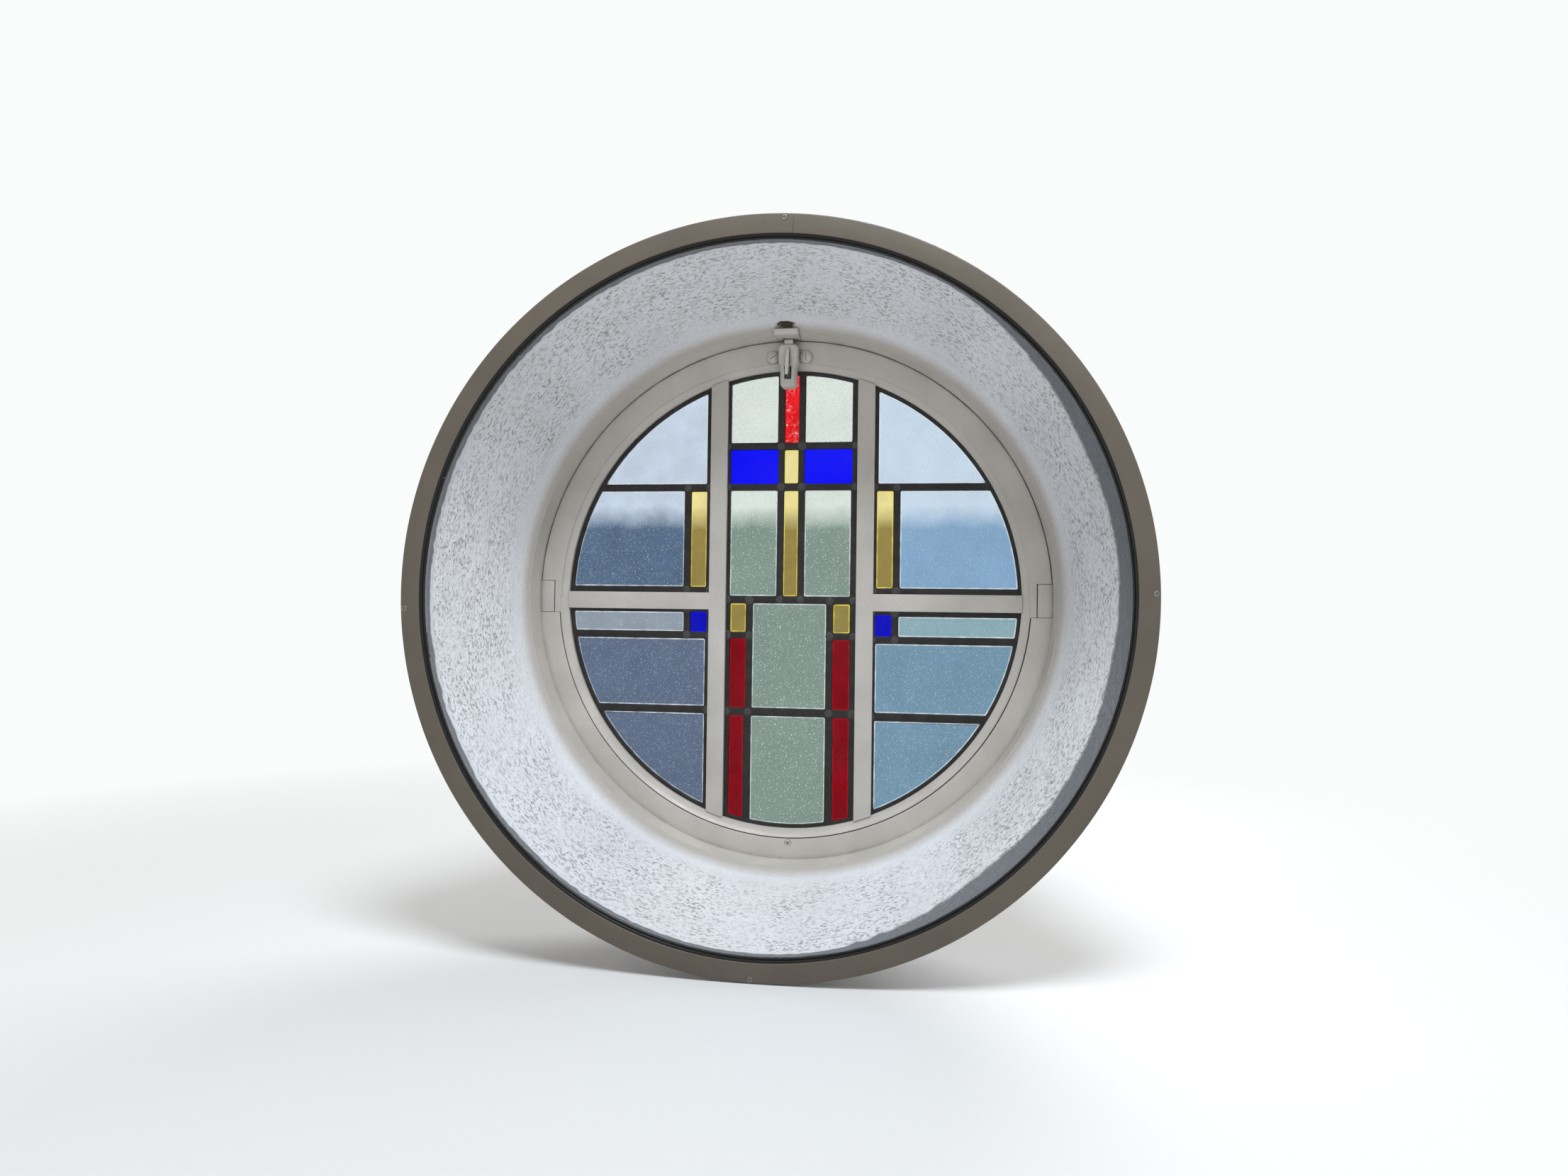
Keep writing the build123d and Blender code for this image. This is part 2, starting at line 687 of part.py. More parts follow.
def make_latch_keep():
    """Forked keep let into the frame's head: a nose in front of the bolt and a prong each side of it."""
    bar_back_face = bolt_front_y - 2 * BOLT_PLAY
    neck_z = flare_r - KEEP_NECK
    with BuildPart() as keep:
        with BuildSketch(Plane.YZ.offset(LATCH_X - KEEP_HALF)):
            with BuildLine():
                Polyline(
                    (bolt_back_y, keep_foot_z),
                    (keep_front_y + KEEP_NOSE, keep_foot_z),
                    (keep_front_y, keep_foot_z + KEEP_NOSE),
                    (keep_front_y, keep_top_z - KEEP_NOSE),
                    (keep_front_y + KEEP_NOSE, keep_top_z - KEEP_NOSE),
                    (frame_front_y, neck_z),
                    (frame_front_y, keep_top_z),
                    (bolt_back_y, keep_top_z),
                    close=True,
                )
            make_face()
        extrude(amount=2 * KEEP_HALF)
        front = keep.faces().sort_by(Axis.Y)[0]
        chamfer(front.edges().filter_by(Axis.Z), KEEP_NOSE)
        with Locations((LATCH_X, bar_back_face, 0)):
            Box(
                2 * KEEP_SLOT_HALF,
                FAR,
                keep_top_z - KEEP_SLOT_TOP,
                align=(Align.CENTER, Align.MIN, Align.MIN),
                mode=Mode.SUBTRACT,
            )
    save(keep.part, "latch_keep")


os.makedirs("parts", exist_ok=True)
make_room_ring()
make_ring_screws()
make_ring_gasket()
make_inner_pane()
make_reveal_lining()
make_outer_frame()
make_stops()
make_pivots()
make_sash_ring()
make_bars()
for panel_name, colours in LIGHTS.items():
    make_leads(panel_name)
    for colour_name in colours:
        make_glass(panel_name, colour_name)
make_putty()
make_latch_body()
make_latch_screws()
make_latch_bolt()
make_latch_spring()
make_latch_keep()
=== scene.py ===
import math
import random

import bmesh
import bpy
from mathutils import Matrix, Vector, noise


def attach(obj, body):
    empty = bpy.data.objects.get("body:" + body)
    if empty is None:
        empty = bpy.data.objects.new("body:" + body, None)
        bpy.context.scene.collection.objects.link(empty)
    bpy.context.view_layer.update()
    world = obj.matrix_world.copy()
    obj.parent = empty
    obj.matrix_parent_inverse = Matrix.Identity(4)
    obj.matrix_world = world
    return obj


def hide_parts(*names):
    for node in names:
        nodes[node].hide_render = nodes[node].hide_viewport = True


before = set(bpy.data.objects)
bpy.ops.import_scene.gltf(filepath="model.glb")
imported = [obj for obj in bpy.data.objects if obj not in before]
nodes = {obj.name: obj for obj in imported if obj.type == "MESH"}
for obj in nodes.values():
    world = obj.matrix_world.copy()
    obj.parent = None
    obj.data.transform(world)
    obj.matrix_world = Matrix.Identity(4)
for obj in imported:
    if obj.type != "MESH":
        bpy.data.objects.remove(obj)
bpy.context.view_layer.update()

MM = 0.001
random.seed(7)
noise.seed_set(7)

# Sizes of the part, in millimetres
WALL_Y = -240.0
RING_FRONT_Y = -246.0
RING_R, RING_BORE_R = 500.0, 473.5
GASKET_BORE_R = 467.0
PANE_BACK_Y = -236.0
THROAT_Y = -217.0
COVE_R, COVE_Y = 411.0, -82.0
FRAME_FRONT_Y, FACE_Y, BACK_Y, FRAME_BACK_Y = -48.0, -18.0, 18.0, 30.0
FRAME_R, FLARE_R, FRAME_BORE_R = 425.0, 391.5, 387.0
SASH_R, SIGHT_R, BEVEL_R, REBATE_R = 385.8, 343.3, 355.5, 350.0
SHOULDER_Y = -6.0
STOP_R, STOP_OUTER_R = 357.0, 387.5
LEAD_FRONT_Y, LEAD_BACK_Y = -5.9, 0.6
GLASS_FRONT_Y, GLASS_BACK_Y = -4.25, -1.05
TUCK = 3.6
ARC_LIGHT_R, LIGHT_CORNER = 338.0, 2.6
LEAD_R = 349.0
POCKET_X, POCKET_R, EAR_R = 363.9, 30.54, 30.1
BLOCK_X, BLOCK_R, BLOCK_END_R = 365.4, 29.8, 386.9
BUSH_R = 8.15
BAR_HALF, TONGUE_HALF = 12.75, 6.25
BAR_LEFT_X, BAR_RIGHT_X, CROSSBAR_Z = -109.0, 114.5, -5.0
BAR_FACE_Y, BAR_BACK_Y = -14.0, 12.0
RING_SCREW_R = 494.5
RING_SCREW_ANGLES = {"top": 87.1, "right": 0.8, "bottom": 269.2, "left": 182.6}
STOP_SCREW = (4.4, -363.4)
LATCH_X = -1.5
LATCH_SCREW_X, LATCH_SCREW_Z = 25, 361.4
MORTISE_HALF = 18.2

# How far the paint stays inside the solids, how far cutters reach, and a light's open side
SKIN = 0.15
OUT = 600
FAR = 1000.0

LIGHTS = {
    "centre": {
        "clear": [
            (-92.0, -20.2, 236.0, FAR),
            (22.0, 92.8, 236.0, FAR),
            (-91.8, -19.8, 3.6, 163.2),
            (22.2, 91.8, 3.6, 163.2),
            (-55.6, 56.4, -165.2, -7.8),
            (-56.5, 56.5, -FAR, -177.5),
        ],
        "red": [
            (-9.8, 12.2, 235.4, FAR),
            (-90.2, -65.6, -165.6, -61.6),
            (66.8, 92.0, -165.6, -61.6),
            (-90.0, -68.0, -FAR, -177.7),
            (68.2, 92.1, -FAR, -177.7),
        ],
        "blue": [(-92.4, -19.2, 173.4, 225.4), (21.0, 93.4, 173.4, 225.4)],
        "yellow": [
            (-9.6, 11.4, 174.2, 224.6),
            (-9.8, 12.0, 3.6, 162.6),
            (-90.2, -66.2, -51.1, -8.2),
            (67.0, 91.8, -51.1, -8.2),
        ],
    },
    "top_left": {
        "clear": [(-FAR, -129.2, 173.8, FAR), (-FAR, -163.8, 17.0, 163.0)],
        "yellow": [(-153.4, -128.6, 16.6, 162.0)],
    },
    "top_right": {
        "clear": [(132.6, FAR, 173.0, FAR), (165.8, FAR, 16.8, 161.8)],
        "yellow": [(130.8, 155.3, 16.8, 161.8)],
    },
    "bottom_left": {
        "clear": [(-FAR, -162.9, -51.5, -22.3), (-FAR, -129.0, -164.6, -62.6), (-FAR, -128.7, -FAR, -176.0)],
        "blue": [(-152.2, -127.2, -51.9, -21.8)],
    },
    "bottom_right": {
        "clear": [(164.4, FAR, -54.8, -25.5), (130.3, FAR, -168.3, -66.0), (130.0, FAR, -FAR, -180.6)],
        "blue": [(130.1, 153.7, -55.0, -23.5)],
    },
}
LEFT_EDGE, RIGHT_EDGE = BAR_LEFT_X - BAR_HALF, BAR_RIGHT_X + BAR_HALF
FOOT_EDGE, HEAD_EDGE = CROSSBAR_Z - BAR_HALF, CROSSBAR_Z + BAR_HALF
APERTURES = {
    "centre": (BAR_LEFT_X + BAR_HALF, BAR_RIGHT_X - BAR_HALF, -FAR, FAR),
    "top_left": (-FAR, LEFT_EDGE, HEAD_EDGE, FAR),
    "top_right": (RIGHT_EDGE, FAR, HEAD_EDGE, FAR),
    "bottom_left": (-FAR, LEFT_EDGE, -FAR, FOOT_EDGE),
    "bottom_right": (RIGHT_EDGE, FAR, -FAR, FOOT_EDGE),
}


# Materials


def seen_as(red, green, blue):
    """The linear colour of three screen values from 0 to 255."""
    shares = [c / 255 for c in (red, green, blue)]
    return tuple(s / 12.92 if s < 0.043 else ((s + 0.055) / 1.055) ** 2.4 for s in shares)


class Surface:
    """A node material under construction: one Principled shader and short ways to add texture to it."""

    def __init__(self, name, color, roughness, metallic=0.0):
        self.material = bpy.data.materials.new(name)
        self.material.use_nodes = True
        self.tree = self.material.node_tree
        self.shader = self.tree.nodes["Principled BSDF"]
        self.shader.inputs["Base Color"].default_value = (*color, 1.0)
        self.shader.inputs["Roughness"].default_value = roughness
        self.shader.inputs["Metallic"].default_value = metallic
        self.place = self.tree.nodes.new("ShaderNodeTexCoord").outputs["Object"]
        self.material.diffuse_color = (*color, 1.0)

    def noise(self, scale, detail=4.0, rough=0.55, stretch=None):
        """Noise with that many features a metre."""
        place = self.place
        if stretch:
            mapping = self.tree.nodes.new("ShaderNodeMapping")
            mapping.inputs["Scale"].default_value = stretch
            self.tree.links.new(place, mapping.inputs["Vector"])
            place = mapping.outputs["Vector"]
        node = self.tree.nodes.new("ShaderNodeTexNoise")
        node.inputs["Scale"].default_value = scale
        node.inputs["Detail"].default_value = detail
        node.inputs["Roughness"].default_value = rough
        self.tree.links.new(place, node.inputs["Vector"])
        return node.outputs["Fac"]

    def ramp(self, factor, stops):
        """A number between 0 and 1 turned into colours or greys."""
        node = self.tree.nodes.new("ShaderNodeValToRGB")
        elements = node.color_ramp.elements
        while len(elements) < len(stops):
            elements.new(0.5)
        for element, (place, color) in zip(elements, stops):
            element.position = place
            element.color = (*color, 1.0) if isinstance(color, tuple) else (color, color, color, 1.0)
        self.tree.links.new(factor, node.inputs["Fac"])
        return node.outputs["Color"]

    def mix(self, factor, first, second, blend="MIX"):
        """Two colours mixed by a socket or a number."""
        node = self.tree.nodes.new("ShaderNodeMix")
        node.data_type = "RGBA"
        node.blend_type = blend
        for socket, value in ((node.inputs[0], factor), (node.inputs[6], first), (node.inputs[7], second)):
            if isinstance(value, bpy.types.NodeSocket):
                self.tree.links.new(value, socket)
            elif isinstance(value, tuple):
                socket.default_value = (*value, 1.0)
            else:
                socket.default_value = value
        return node.outputs[2]

    def math(self, operation, first, second):
        """One arithmetic step on sockets or numbers."""
        node = self.tree.nodes.new("ShaderNodeMath")
        node.operation = operation
        for socket, value in zip(node.inputs, (first, second)):
            if isinstance(value, bpy.types.NodeSocket):
                self.tree.links.new(value, socket)
            else:
                socket.default_value = value
        return node.outputs[0]

    def corners(self, distance):
        """1 in the open, falling towards 0 in corners nearer than distance."""
        node = self.tree.nodes.new("ShaderNodeAmbientOcclusion")
        node.samples = 8
        node.inputs["Distance"].default_value = distance
        return node.outputs["AO"]

    def mark(self, name):
        """A number from 0 to 1 that the mesh carries at each point."""
        node = self.tree.nodes.new("ShaderNodeAttribute")
        node.attribute_name = name
        return node.outputs["Fac"]

    def use(self, name, socket):
        """Lets a socket drive an input of the shader."""
        self.tree.links.new(socket, self.shader.inputs[name])

    def bump(self, height, strength, distance):
        """Shades the surface as a relief that many metres high would."""
        node = self.tree.nodes.new("ShaderNodeBump")
        node.inputs["Strength"].default_value = strength
        node.inputs["Distance"].default_value = distance
        self.tree.links.new(height, node.inputs["Height"])
        self.tree.links.new(node.outputs["Normal"], self.shader.inputs["Normal"])


def painted(name, color, dirt_and_shade_color, roughness=0.42, reach=0.012, ridges=0.35, crease_shade_strength=0.9):
    """Brushed gloss paint, uneven in tone, with dirt and painted shade in its corners and creases."""
    s = Surface(name, color, roughness)
    pale = tuple(min(1.0, c * 1.07) for c in color)
    dull = tuple(c * 0.9 for c in color)
    tone = s.ramp(s.noise(9, 3), [(0.35, dull), (0.65, pale)])
    fine = s.ramp(s.noise(260, 5), [(0.3, 0.93), (0.7, 1.0)])
    tone = s.mix(1.0, tone, fine, "MULTIPLY")
    # Dirt and painted shade darken corners in patches, and a thin line of painted shade follows creases and
    # joints
    painted_corner_shade = s.ramp(s.corners(reach), [(0.25, 1.0), (0.85, 0.0)])
    patches = s.ramp(s.noise(45, 5), [(0.35, 0.35), (0.7, 1.0)])
    crease_shade = s.ramp(s.corners(0.0035), [(0.4, crease_shade_strength), (0.9, 0.0)])
    dirt_and_painted_shade = s.math("MAXIMUM", s.math("MULTIPLY", painted_corner_shade, patches), crease_shade)
    s.use("Base Color", s.mix(dirt_and_painted_shade, tone, dirt_and_shade_color))
    s.use("Roughness", s.ramp(s.noise(60, 4), [(0.3, roughness - 0.08), (0.7, roughness + 0.1)]))
    strokes = s.noise(420, 3, 0.5, stretch=(0.25, 1.0, 1.0))
    lumps = s.noise(90, 2)
    s.bump(s.math("ADD", s.math("MULTIPLY", strokes, 0.35), lumps), ridges, 0.0006)
    return s.material


def plastered(name):
    """White plaster: chalky, with painted shade in its corners, and with pits and a grey unlit strip by the
    pane painted in shade as marked on the mesh.
    """
    s = Surface(name, (0.86, 0.87, 0.90), 0.7)
    tone = s.ramp(s.noise(6, 4), [(0.3, (0.80, 0.80, 0.83)), (0.7, (0.90, 0.91, 0.94))])
    grains = s.ramp(s.noise(420, 4, 0.7), [(0.32, 0.78), (0.46, 1.0)])
    tone = s.mix(1.0, tone, grains, "MULTIPLY")
    # Painted shade: the grey unlit strip by the pane
    tone = s.mix(s.mark("strip"), tone, seen_as(124, 127, 132))
    worms = s.ramp(s.noise(400, 2, 0.5, stretch=(0.45, 1.0, 0.45)), [(0.36, 1.0), (0.43, 0.0)])
    crowd = s.ramp(s.noise(17, 3), [(0.38, 0.3), (0.6, 1.0)])
    pits = s.math("MULTIPLY", s.math("MULTIPLY", worms, crowd), s.mark("rough"))
    # By the frame the plaster takes the frame's beige paint, darkened further as painted shade
    tone = s.mix(s.mark("cove"), tone, seen_as(190, 184, 177))
    # Painted shade in the plaster's pits, from the noise pits and from the mesh's pit mark
    tone = s.mix(s.math("MULTIPLY", pits, 0.7), tone, seen_as(158, 155, 154))
    tone = s.mix(s.math("MULTIPLY", s.mark("pit"), 0.8), tone, seen_as(154, 150, 147))
    # The chip above the keep: the broken plaster's brown, with painted shade in its hollow
    tone = s.mix(s.mark("chip"), tone, seen_as(78, 62, 50))
    # Painted shade in the plaster's corners
    painted_corner_shade = s.ramp(s.corners(0.005), [(0.3, 0.7), (0.8, 0.0)])
    s.use("Base Color", s.mix(painted_corner_shade, tone, (0.40, 0.38, 0.37)))
    relief = s.math("ADD", s.noise(420, 4, 0.65), s.noise(140, 3, 0.5, stretch=(0.5, 1.0, 0.5)))
    s.bump(s.math("SUBTRACT", relief, pits), 0.9, 0.0020)
    return s.material


# Heights in metres where glass starts and ends turning paler, and how much that line wavers; the paler glass
# is painted light, for brighter light beyond it
PAINTED_LIGHT_BAND = (0.105, 0.140, 0.03)
LOW_PAINTED_LIGHT_BAND = (-0.0610, -0.0565, 0.0)
GLASS_IOR = 1.12
DUST = (0.86, 0.90, 0.88)


def glassy(name, low, high, roughness, dust, wave, edge_highlight, mottle, swirls=None, band=PAINTED_LIGHT_BAND):
    """Sheet glass in two tones, low below its band and high above it, the high tone painted light: wavy,
    dusty, with painted highlights along its edges.
    """
    s = Surface(name, low, roughness)
    s.shader.inputs["Transmission Weight"].default_value = 1.0
    s.shader.inputs["IOR"].default_value = GLASS_IOR
    parts = s.tree.nodes.new("ShaderNodeSeparateXYZ")
    s.tree.links.new(s.place, parts.inputs["Vector"])
    pale_from, pale_to, ragged = band
    waver = s.math("MULTIPLY", s.math("SUBTRACT", s.noise(22, 3), 0.5), ragged)
    height = s.math("ADD", parts.outputs["Z"], waver)
    rise = s.math("DIVIDE", s.math("SUBTRACT", height, pale_from), pale_to - pale_from)
    color = s.mix(s.ramp(rise, [(0.0, 0.0), (1.0, 1.0)]), low, high)
    patches = s.ramp(s.noise(28, 4), [(0.3, 1.0 - mottle), (0.7, 1.0)])
    tone = s.mix(1.0, color, patches, "MULTIPLY")
    if swirls:
        curls = s.ramp(s.noise(130, 1, 0.3), [(0.455, 0.0), (0.5, 1.0), (0.545, 0.0)])
        blots = s.ramp(s.noise(60, 3, 0.6, stretch=(1.3, 1.0, 0.8)), [(0.42, 0.0), (0.5, 1.0)])
        marks = s.math("MULTIPLY", curls, blots)
        marks = s.math("MULTIPLY", marks, s.ramp(rise, [(0.9, 0.0), (1.0, 1.0)]))
        tone = s.mix(marks, tone, swirls)
    # Painted highlights where the mesh marks the glass's rim
    lit = s.math("MULTIPLY", s.mark("rim"), s.ramp(s.noise(60, 3), [(0.35, 0.3), (0.65, 1.0)]))
    tone = s.mix(lit, tone, edge_highlight)
    s.use("Base Color", tone)
    s.bump(s.math("ADD", s.noise(40, 2), s.math("MULTIPLY", s.noise(240, 2), 0.12)), wave, 0.0015)
    if dust:
        specks = s.ramp(s.noise(430, 2, 0.5), [(0.615, 0.0), (0.665, 1.0)])
        film = s.ramp(s.noise(14, 5), [(0.35, 0.2), (0.7, 1.0)])
        layer = s.math("ADD", s.math("MULTIPLY", specks, 0.8), s.math("MULTIPLY", film, 0.35))
        amount = s.math("MULTIPLY", layer, dust)
        s.use("Base Color", s.mix(s.math("MULTIPLY", specks, min(1.0, 2 * dust)), tone, DUST))
        s.use("Transmission Weight", s.math("SUBTRACT", 1.0, amount))
        s.use("Roughness", s.math("ADD", s.math("MULTIPLY", amount, 0.35), roughness))
    return s.material


def leaden(name):
    """Dull dark lead with paler handling marks."""
    s = Surface(name, (0.012, 0.011, 0.011), 0.5)
    s.shader.inputs["Specular IOR Level"].default_value = 0.3
    tone = s.ramp(s.noise(60, 5), [(0.3, (0.007, 0.006, 0.006)), (0.75, (0.022, 0.019, 0.019))])
    s.use("Base Color", tone)
    s.use("Roughness", s.ramp(s.noise(120, 3), [(0.3, 0.38), (0.7, 0.62)]))
    s.bump(s.noise(350, 4), 0.35, 0.0005)
    return s.material


def plain(name, color, roughness, metallic=0.0, grain=400, depth=0.2):
    """A single material with a little variation in tone and a fine grain."""
    s = Surface(name, color, roughness, metallic)
    dull = tuple(c * 0.75 for c in color)
    s.use("Base Color", s.ramp(s.noise(grain / 6, 4), [(0.3, dull), (0.7, color)]))
    s.bump(s.noise(grain, 3), depth, 0.0003)
    return s.material


def scratched_pane(name):
    """Clean window glass, almost unseen, with fine slanting scratches."""
    s = Surface(name, (0.80, 0.84, 0.86), 0.03)
    s.shader.inputs["IOR"].default_value = 1.5
    lines = s.ramp(s.noise(60, 2, 0.5, stretch=(1.0, 1.0, 14.0)), [(0.70, 0.0), (0.74, 1.0)])
    film = s.ramp(s.noise(10, 4), [(0.4, 0.001), (0.7, 0.004)])
    s.use("Alpha", s.math("ADD", film, s.math("MULTIPLY", lines, 0.02)))
    return s.material


# Colours of dirt and painted shade for the paint's corners and creases
PAINT_DIRT_AND_SHADE = (0.17, 0.145, 0.115)
LATCH_DIRT_AND_SHADE = (0.08, 0.068, 0.055)
PAINT = painted("frame_paint", seen_as(196, 191, 184), PAINT_DIRT_AND_SHADE)
# The fixed frame and its beads take the same paint with fainter painted shade in their creases
FIXED_PAINT = painted("fixed_frame_paint", seen_as(196, 191, 183), PAINT_DIRT_AND_SHADE, crease_shade_strength=0.4)
# The room ring's taupe paint, darkened as painted shade because the ring stands in shade
SHADED_RING_PAINT = painted("ring_paint", seen_as(92, 84, 73), (0.09, 0.08, 0.065), 0.5, 0.004, 0.3)
LATCH_PAINT = painted("latch_paint", seen_as(200, 196, 189), LATCH_DIRT_AND_SHADE, 0.34, 0.011, 0.6)
# The bolt and fin take a paler copy of the latch paint: a painted highlight where the fin catches light
HIGHLIT_BOLT_PAINT = painted("bolt_paint", seen_as(222, 219, 213), LATCH_DIRT_AND_SHADE, 0.25, 0.005, 0.4)
PLASTER = plastered("plaster")
RUBBER = plain("gasket_rubber", (0.012, 0.012, 0.013), 0.22, 0.0, 300, 0.1)
RUBBER.node_tree.nodes["Principled BSDF"].inputs["Specular IOR Level"].default_value = 0.25
PANE = scratched_pane("pane_glass")
LEAD = leaden("lead")
SOLDER = plain("solder", (0.060, 0.057, 0.055), 0.42, 0.5, 250, 0.4)
PUTTY = plain("putty", (0.50, 0.48, 0.44), 0.6, 0.0, 200, 0.5)
STEEL = plain("screw_steel", (0.24, 0.23, 0.21), 0.45, 0.6, 600, 0.3)
SPRING_STEEL = plain("spring_steel", (0.42, 0.42, 0.42), 0.3, 1.0)
BRASS = plain("bush_brass", (0.62, 0.44, 0.20), 0.35, 1.0)

# For each panel's clear glass: its screen tones below and above the band (the upper one painted light),
# roughness, dust, mottle and band
# The painted highlight along the clear glass's edges
PAINTED_EDGE_HIGHLIGHT = (0.85, 0.90, 0.93)
CLEAR_WAVE = 0.2
CLEAR_TONES = {
    "centre": ((137, 159, 148), (234, 244, 236), 0.08, 0.45, 0.12, PAINTED_LIGHT_BAND),
    "top_left": ((92, 116, 146), (214, 228, 246), 0.03, 0.3, 0.2, PAINTED_LIGHT_BAND),
    "top_right": ((140, 178, 212), (214, 232, 250), 0.03, 0.3, 0.12, PAINTED_LIGHT_BAND),
    "bottom_left": ((100, 116, 142), (154, 166, 180), 0.03, 0.25, 0.15, LOW_PAINTED_LIGHT_BAND),
    "bottom_right": ((122, 158, 182), (147, 182, 192), 0.03, 0.3, 0.15, LOW_PAINTED_LIGHT_BAND),
}
# For each colour: its screen tones below and above the band (the upper one painted light) and at its edges (a
# painted highlight), roughness, dust, wave, mottle
COLOUR_TONES = {
    "red": ((140, 3, 20), (250, 24, 30), (190, 8, 24), 0.05, 0.02, 0.6, 0.3),
    "blue": ((3, 3, 190), (6, 8, 252), (10, 16, 255), 0.05, 0.0, 0.3, 0.06),
    "yellow": ((158, 140, 74), (250, 236, 160), (246, 226, 90), 0.08, 0.1, 0.5, 0.18),
}
SWIRLS = {"red": (1.0, 0.85, 0.85)}


def make_glasses():
    """The glass materials by panel and colour, or by colour alone."""
    glasses = {}
    for panel, (low, high, roughness, dust, mottle, band) in CLEAR_TONES.items():
        low, high = seen_as(*low), seen_as(*high)
        name = f"{panel}_clear"
        look = (low, high, roughness, dust, CLEAR_WAVE, PAINTED_EDGE_HIGHLIGHT, mottle)
        glasses[name] = glassy(f"{name}_glass", *look, band=band)
    for colour, (low, high, edge_highlight, roughness, dust, wave, mottle) in COLOUR_TONES.items():
        low, high, edge_highlight = seen_as(*low), seen_as(*high), seen_as(*edge_highlight)
        swirls = SWIRLS.get(colour)
        glasses[colour] = glassy(f"{colour}_glass", low, high, roughness, dust, wave, edge_highlight, mottle, swirls)
    return glasses


GLASSES = make_glasses()


# Mesh building


def add_object(name, data):
    """A new object in the scene."""
    thing = bpy.data.objects.new(name, data)
    bpy.context.scene.collection.objects.link(thing)
    return thing


def put(name, mesh, material, body, *stands_for, slot=None, sharp=32):
    """A finished mesh becomes a piece of the object."""
    mesh.materials.clear()
    mesh.materials.append(material)
    mesh.shade_smooth()
    if sharp:
        mesh.set_sharp_from_angle(angle=math.radians(sharp))
    piece = add_object(name, mesh)
    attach(piece, body)
    if stands_for:
        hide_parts(*stands_for)
    return piece


def raw_mesh(verts, faces):
    """A mesh, in metres, of vertices in millimetres."""
    mesh = bpy.data.meshes.new("shape")
    mesh.from_pydata([tuple(c * MM for c in v) for v in verts], [], faces)
    return mesh


def turned_out(mesh, weld=0.0):
    """Joins points nearer than weld, in metres, where it is given, and turns every face outwards."""
    work = bmesh.new()
    work.from_mesh(mesh)
    if weld:
        bmesh.ops.remove_doubles(work, verts=work.verts, dist=weld)
    bmesh.ops.recalc_face_normals(work, faces=work.faces)
    work.to_mesh(mesh)
    work.free()
    return mesh


def mesh_of(verts, faces):
    """A mesh of vertices in millimetres, its faces turned outwards."""
    return turned_out(raw_mesh(verts, faces))


def rounded(points, steps=4):
    """A closed outline with its corners rounded. Each point carries its own radius as a third number."""
    out = []
    for i, (x, y, radius) in enumerate(points):
        here = Vector((x, y))
        before = Vector(points[i - 1][:2]) - here
        after = Vector(points[(i + 1) % len(points)][:2]) - here
        cosine = before.normalized().dot(after.normalized())
        half = math.acos(max(-1.0, min(1.0, cosine))) / 2
        if radius <= 0 or half > math.radians(88):
            out.append(tuple(here))
            continue
        back = min(radius / math.tan(half), before.length * 0.48, after.length * 0.48)
        start = here + before.normalized() * back
        end = here + after.normalized() * back
        for k in range(steps + 1):
            t = k / steps
            out.append(tuple(start * (1 - t) ** 2 + here * 2 * t * (1 - t) + end * t**2))
    return out


def ring_faces(segments, rings, count):
    """The sides of a closed section of count points carried round, from each ring of points to the next."""
    faces = []
    for i in range(segments):
        a, b = i * count, ((i + 1) % rings) * count
        for j in range(count):
            k = (j + 1) % count
            faces.append((a + j, a + k, b + k, b + j))
    return faces


def turned(profile, segments=288, start=0.0, end=360.0):
    """Vertices and faces of a profile of radius and depth turned about the window's axis."""
    whole = abs(end - start - 360.0) < 1e-6
    rings = segments if whole else segments + 1
    verts, count = [], len(profile)
    for i in range(rings):
        angle = math.radians(start + (end - start) * i / segments)
        for radius, depth in profile:
            verts.append((radius * math.cos(angle), depth, radius * math.sin(angle)))
    faces = ring_faces(segments, rings, count)
    if not whole:
        faces.append(tuple(range(count)))
        faces.append(tuple(range(segments * count, (segments + 1) * count))[::-1])
    return verts, faces


def band_faces(bands, count):
    """The faces between loops of count points that follow each other."""
    faces = []
    for s in range(bands):
        for i in range(count):
            j = (i + 1) % count
            faces.append((s * count + i, s * count + j, (s + 1) * count + j, (s + 1) * count + i))
    return faces


def prism(outline, low, high, plane="xz"):
    """A closed outline pushed from low to high across its plane."""
    place = {"xz": lambda u, v, w: (u, w, v), "yz": lambda u, v, w: (w, u, v)}[plane]
    count = len(outline)
    verts = [place(u, v, low) for u, v in outline] + [place(u, v, high) for u, v in outline]
    caps = [tuple(range(count)), tuple(range(2 * count - 1, count - 1, -1))]
    return verts, caps + band_faces(1, count)


def block(low, high):
    """A plain box between two corners, used only to cut with."""
    (x0, y0, z0), (x1, y1, z1) = low, high
    return prism([(x0, z0), (x1, z0), (x1, z1), (x0, z1)], y0, y1)


def rod(start, end, r0, r1=None, sides=32):
    """A round or tapered cutter between two points."""
    a, b = Vector(start), Vector(end)
    r1 = r0 if r1 is None else r1
    turn = (b - a).to_track_quat("Z", "Y")
    verts = []
    for centre, radius in ((a, r0), (b, r1)):
        for i in range(sides):
            angle = 2 * math.pi * i / sides
            spoke = Vector((radius * math.cos(angle), radius * math.sin(angle), 0))
            verts.append(tuple(centre + turn @ spoke))
    caps = [tuple(range(sides))[::-1], tuple(range(sides, 2 * sides))]
    return verts, caps + band_faces(1, sides)


